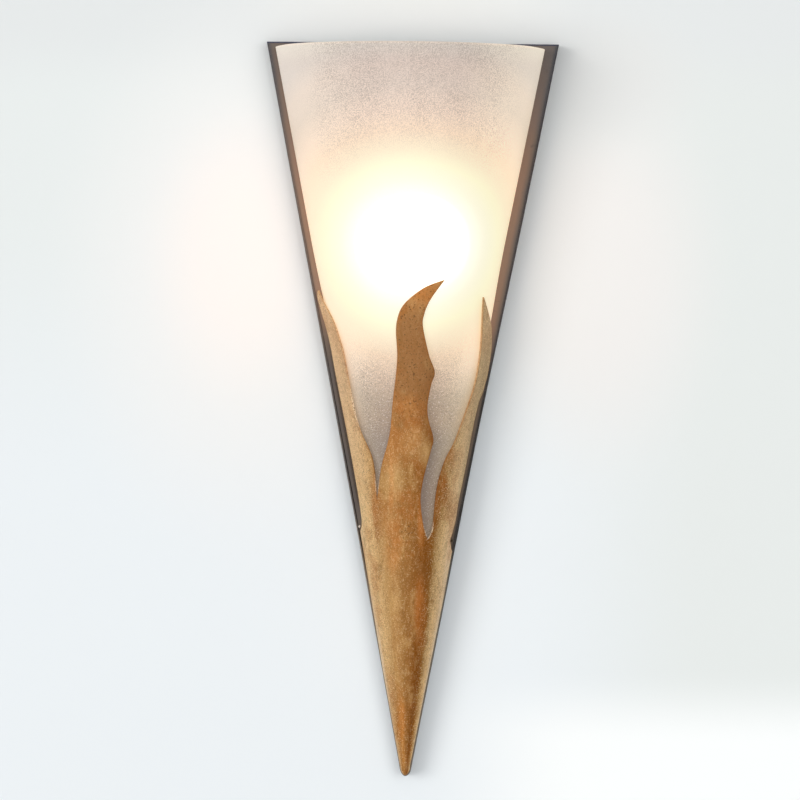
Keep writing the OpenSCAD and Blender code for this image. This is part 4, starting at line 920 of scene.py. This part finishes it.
def backdrop():
    """A pale wall that is seen from the front only, so that the light can be looked at from behind. Its paint
    holds painted light and shade round the light: cooler below, painted shade above and on the right, painted
    light in the lower right corner, a faint painted warm glow of the lamp on either side of it, and a painted
    grey shadow above on the right."""
    mesh = bpy.data.meshes.new("wall_sheet")
    reach, gap = 3, 0.0003
    corners = [(x * reach, gap, z * reach) for x, z in ((-1, -1), (1, -1), (1, 1), (-1, 1))]
    mesh.from_pydata(corners, [], [(0, 1, 2, 3)])
    sheet = bpy.data.objects.new("wall_sheet", mesh)
    bpy.context.scene.collection.objects.link(sheet)
    f = Finish("wall_paint", Roughness=0.8)
    # cooler below; painted shade above and on the right, and a painted pool of light in the lower right
    # corner
    base = f.mix(f.rise(f.z, -0.28, -0.02), (0.812, 0.852, 0.875), (0.785, 0.820, 0.812))
    base = f.mix(f.rise(f.x, 0.08, 0.26), base, (0.768, 0.800, 0.785))
    base = f.mix(f.rise(f.z, 0.05, 0.12), base, (0.760, 0.785, 0.785))
    base = f.mix(f.rise(f.z, -0.41, -0.475) * f.rise(f.x, 0.0, 0.15), base, (0.94, 0.96, 0.955))
    # painted warm glow of the lamp on the wall on either side of it, and a painted grey shadow above on the
    # right
    for colour, oval in (
            ((0.865, 0.862, 0.850), (-140, -85, 175, 260)), ((0.935, 0.880, 0.842), (-140, -75, 90, 140)),
            ((0.838, 0.822, 0.806), (155, -85, 120, 200)), ((0.765, 0.775, 0.765), (155, 75, 100, 75))):
        base = f.mix(f.patch(*oval), base, colour)
    f.colour(f.mix(f.rise(f.noise(3, 3), 0.3, 0.7) * 0.04, base, (0.7, 0.7, 0.7)))
    clear = f.node("ShaderNodeBsdfTransparent")
    behind = f.node("ShaderNodeNewGeometry", out="Backfacing")
    seen = f.node("ShaderNodeLightPath", out="Is Camera Ray") * behind
    both = f.node("ShaderNodeMixShader", None, seen, Amount(f, f.shader.outputs[0]), clear)
    f.tree.links.new(both.socket, f.tree.nodes["Material Output"].inputs[0])
    mesh.materials.append(f.material)
    sheet.visible_shadow = False


def sun(name, strength, aim, soft, colour=(1.0, 1.0, 1.0)):
    """A distant lamp, soft degrees wide; aim is the direction its light travels in."""
    lamp = bpy.data.lights.new(name, "SUN")
    lamp.energy, lamp.angle, lamp.color = strength, math.radians(soft), colour
    thing = bpy.data.objects.new(name, lamp)
    back = -np.array(aim, float) / np.linalg.norm(aim)
    side = np.cross([0, 0, 1.0], back)
    side /= np.linalg.norm(side)
    turn = np.eye(4)
    turn[:3, :3] = np.stack([side, np.cross(back, side), back], 1)
    thing.matrix_world = Matrix(turn.tolist())
    bpy.context.scene.collection.objects.link(thing)


def surroundings():
    """Even pale light from all round, and a pale view beyond the wall."""
    world = bpy.data.worlds.new("studio")
    world.use_nodes = True
    nodes, links = world.node_tree.nodes, world.node_tree.links
    nodes.clear()
    pick, out = nodes.new("ShaderNodeMixShader"), nodes.new("ShaderNodeOutputWorld")
    links.new(nodes.new("ShaderNodeLightPath").outputs["Is Camera Ray"], pick.inputs[0])
    room, view = ((0.96, 0.98, 1.0, 1), 0.24), ((0.86, 0.88, 0.89, 1), 1.0)
    for place, (colour, strength) in enumerate((room, view), 1):
        shade = nodes.new("ShaderNodeBackground")
        shade.inputs["Color"].default_value, shade.inputs["Strength"].default_value = colour, strength
        links.new(shade.outputs[0], pick.inputs[place])
    links.new(pick.outputs[0], out.inputs[0])
    bpy.context.scene.world = world


def camera():
    """Level and far back, so that the pan's face fills the picture as in the photograph: the lens is as long
    as the film width times the distance over the width seen. A fraction of a degree of roll is in it too."""
    away, seen, film = 5.6, 0.6566, 36.0
    lens = bpy.data.cameras.new("camera")
    lens.sensor_width = film
    lens.lens = film * away / seen
    lens.clip_end = 50
    thing = bpy.data.objects.new("camera", lens)
    level = Matrix.Rotation(math.pi / 2, 4, "X")
    roll = Matrix.Rotation(math.radians(-0.589), 4, "Y")
    thing.matrix_world = Matrix.Translation((-0.0076, FACE_Y - away, -0.1914)) @ roll @ level
    bpy.context.scene.collection.objects.link(thing)
    bpy.context.scene.camera = thing


backdrop()
surroundings()
sun("key", 1.21, (0.76, 1.0, -0.05), 30, (1.0, 0.99, 0.975))
sun("front", 0.66, (-0.30, 1.0, -0.05), 32)
sun("face", 0.975, (0.04, 1.0, -0.10), 60)
sun("rear", 1.2, (0.2, -1.0, -0.4), 60)
camera()
bpy.context.scene.view_settings.view_transform = "Standard"
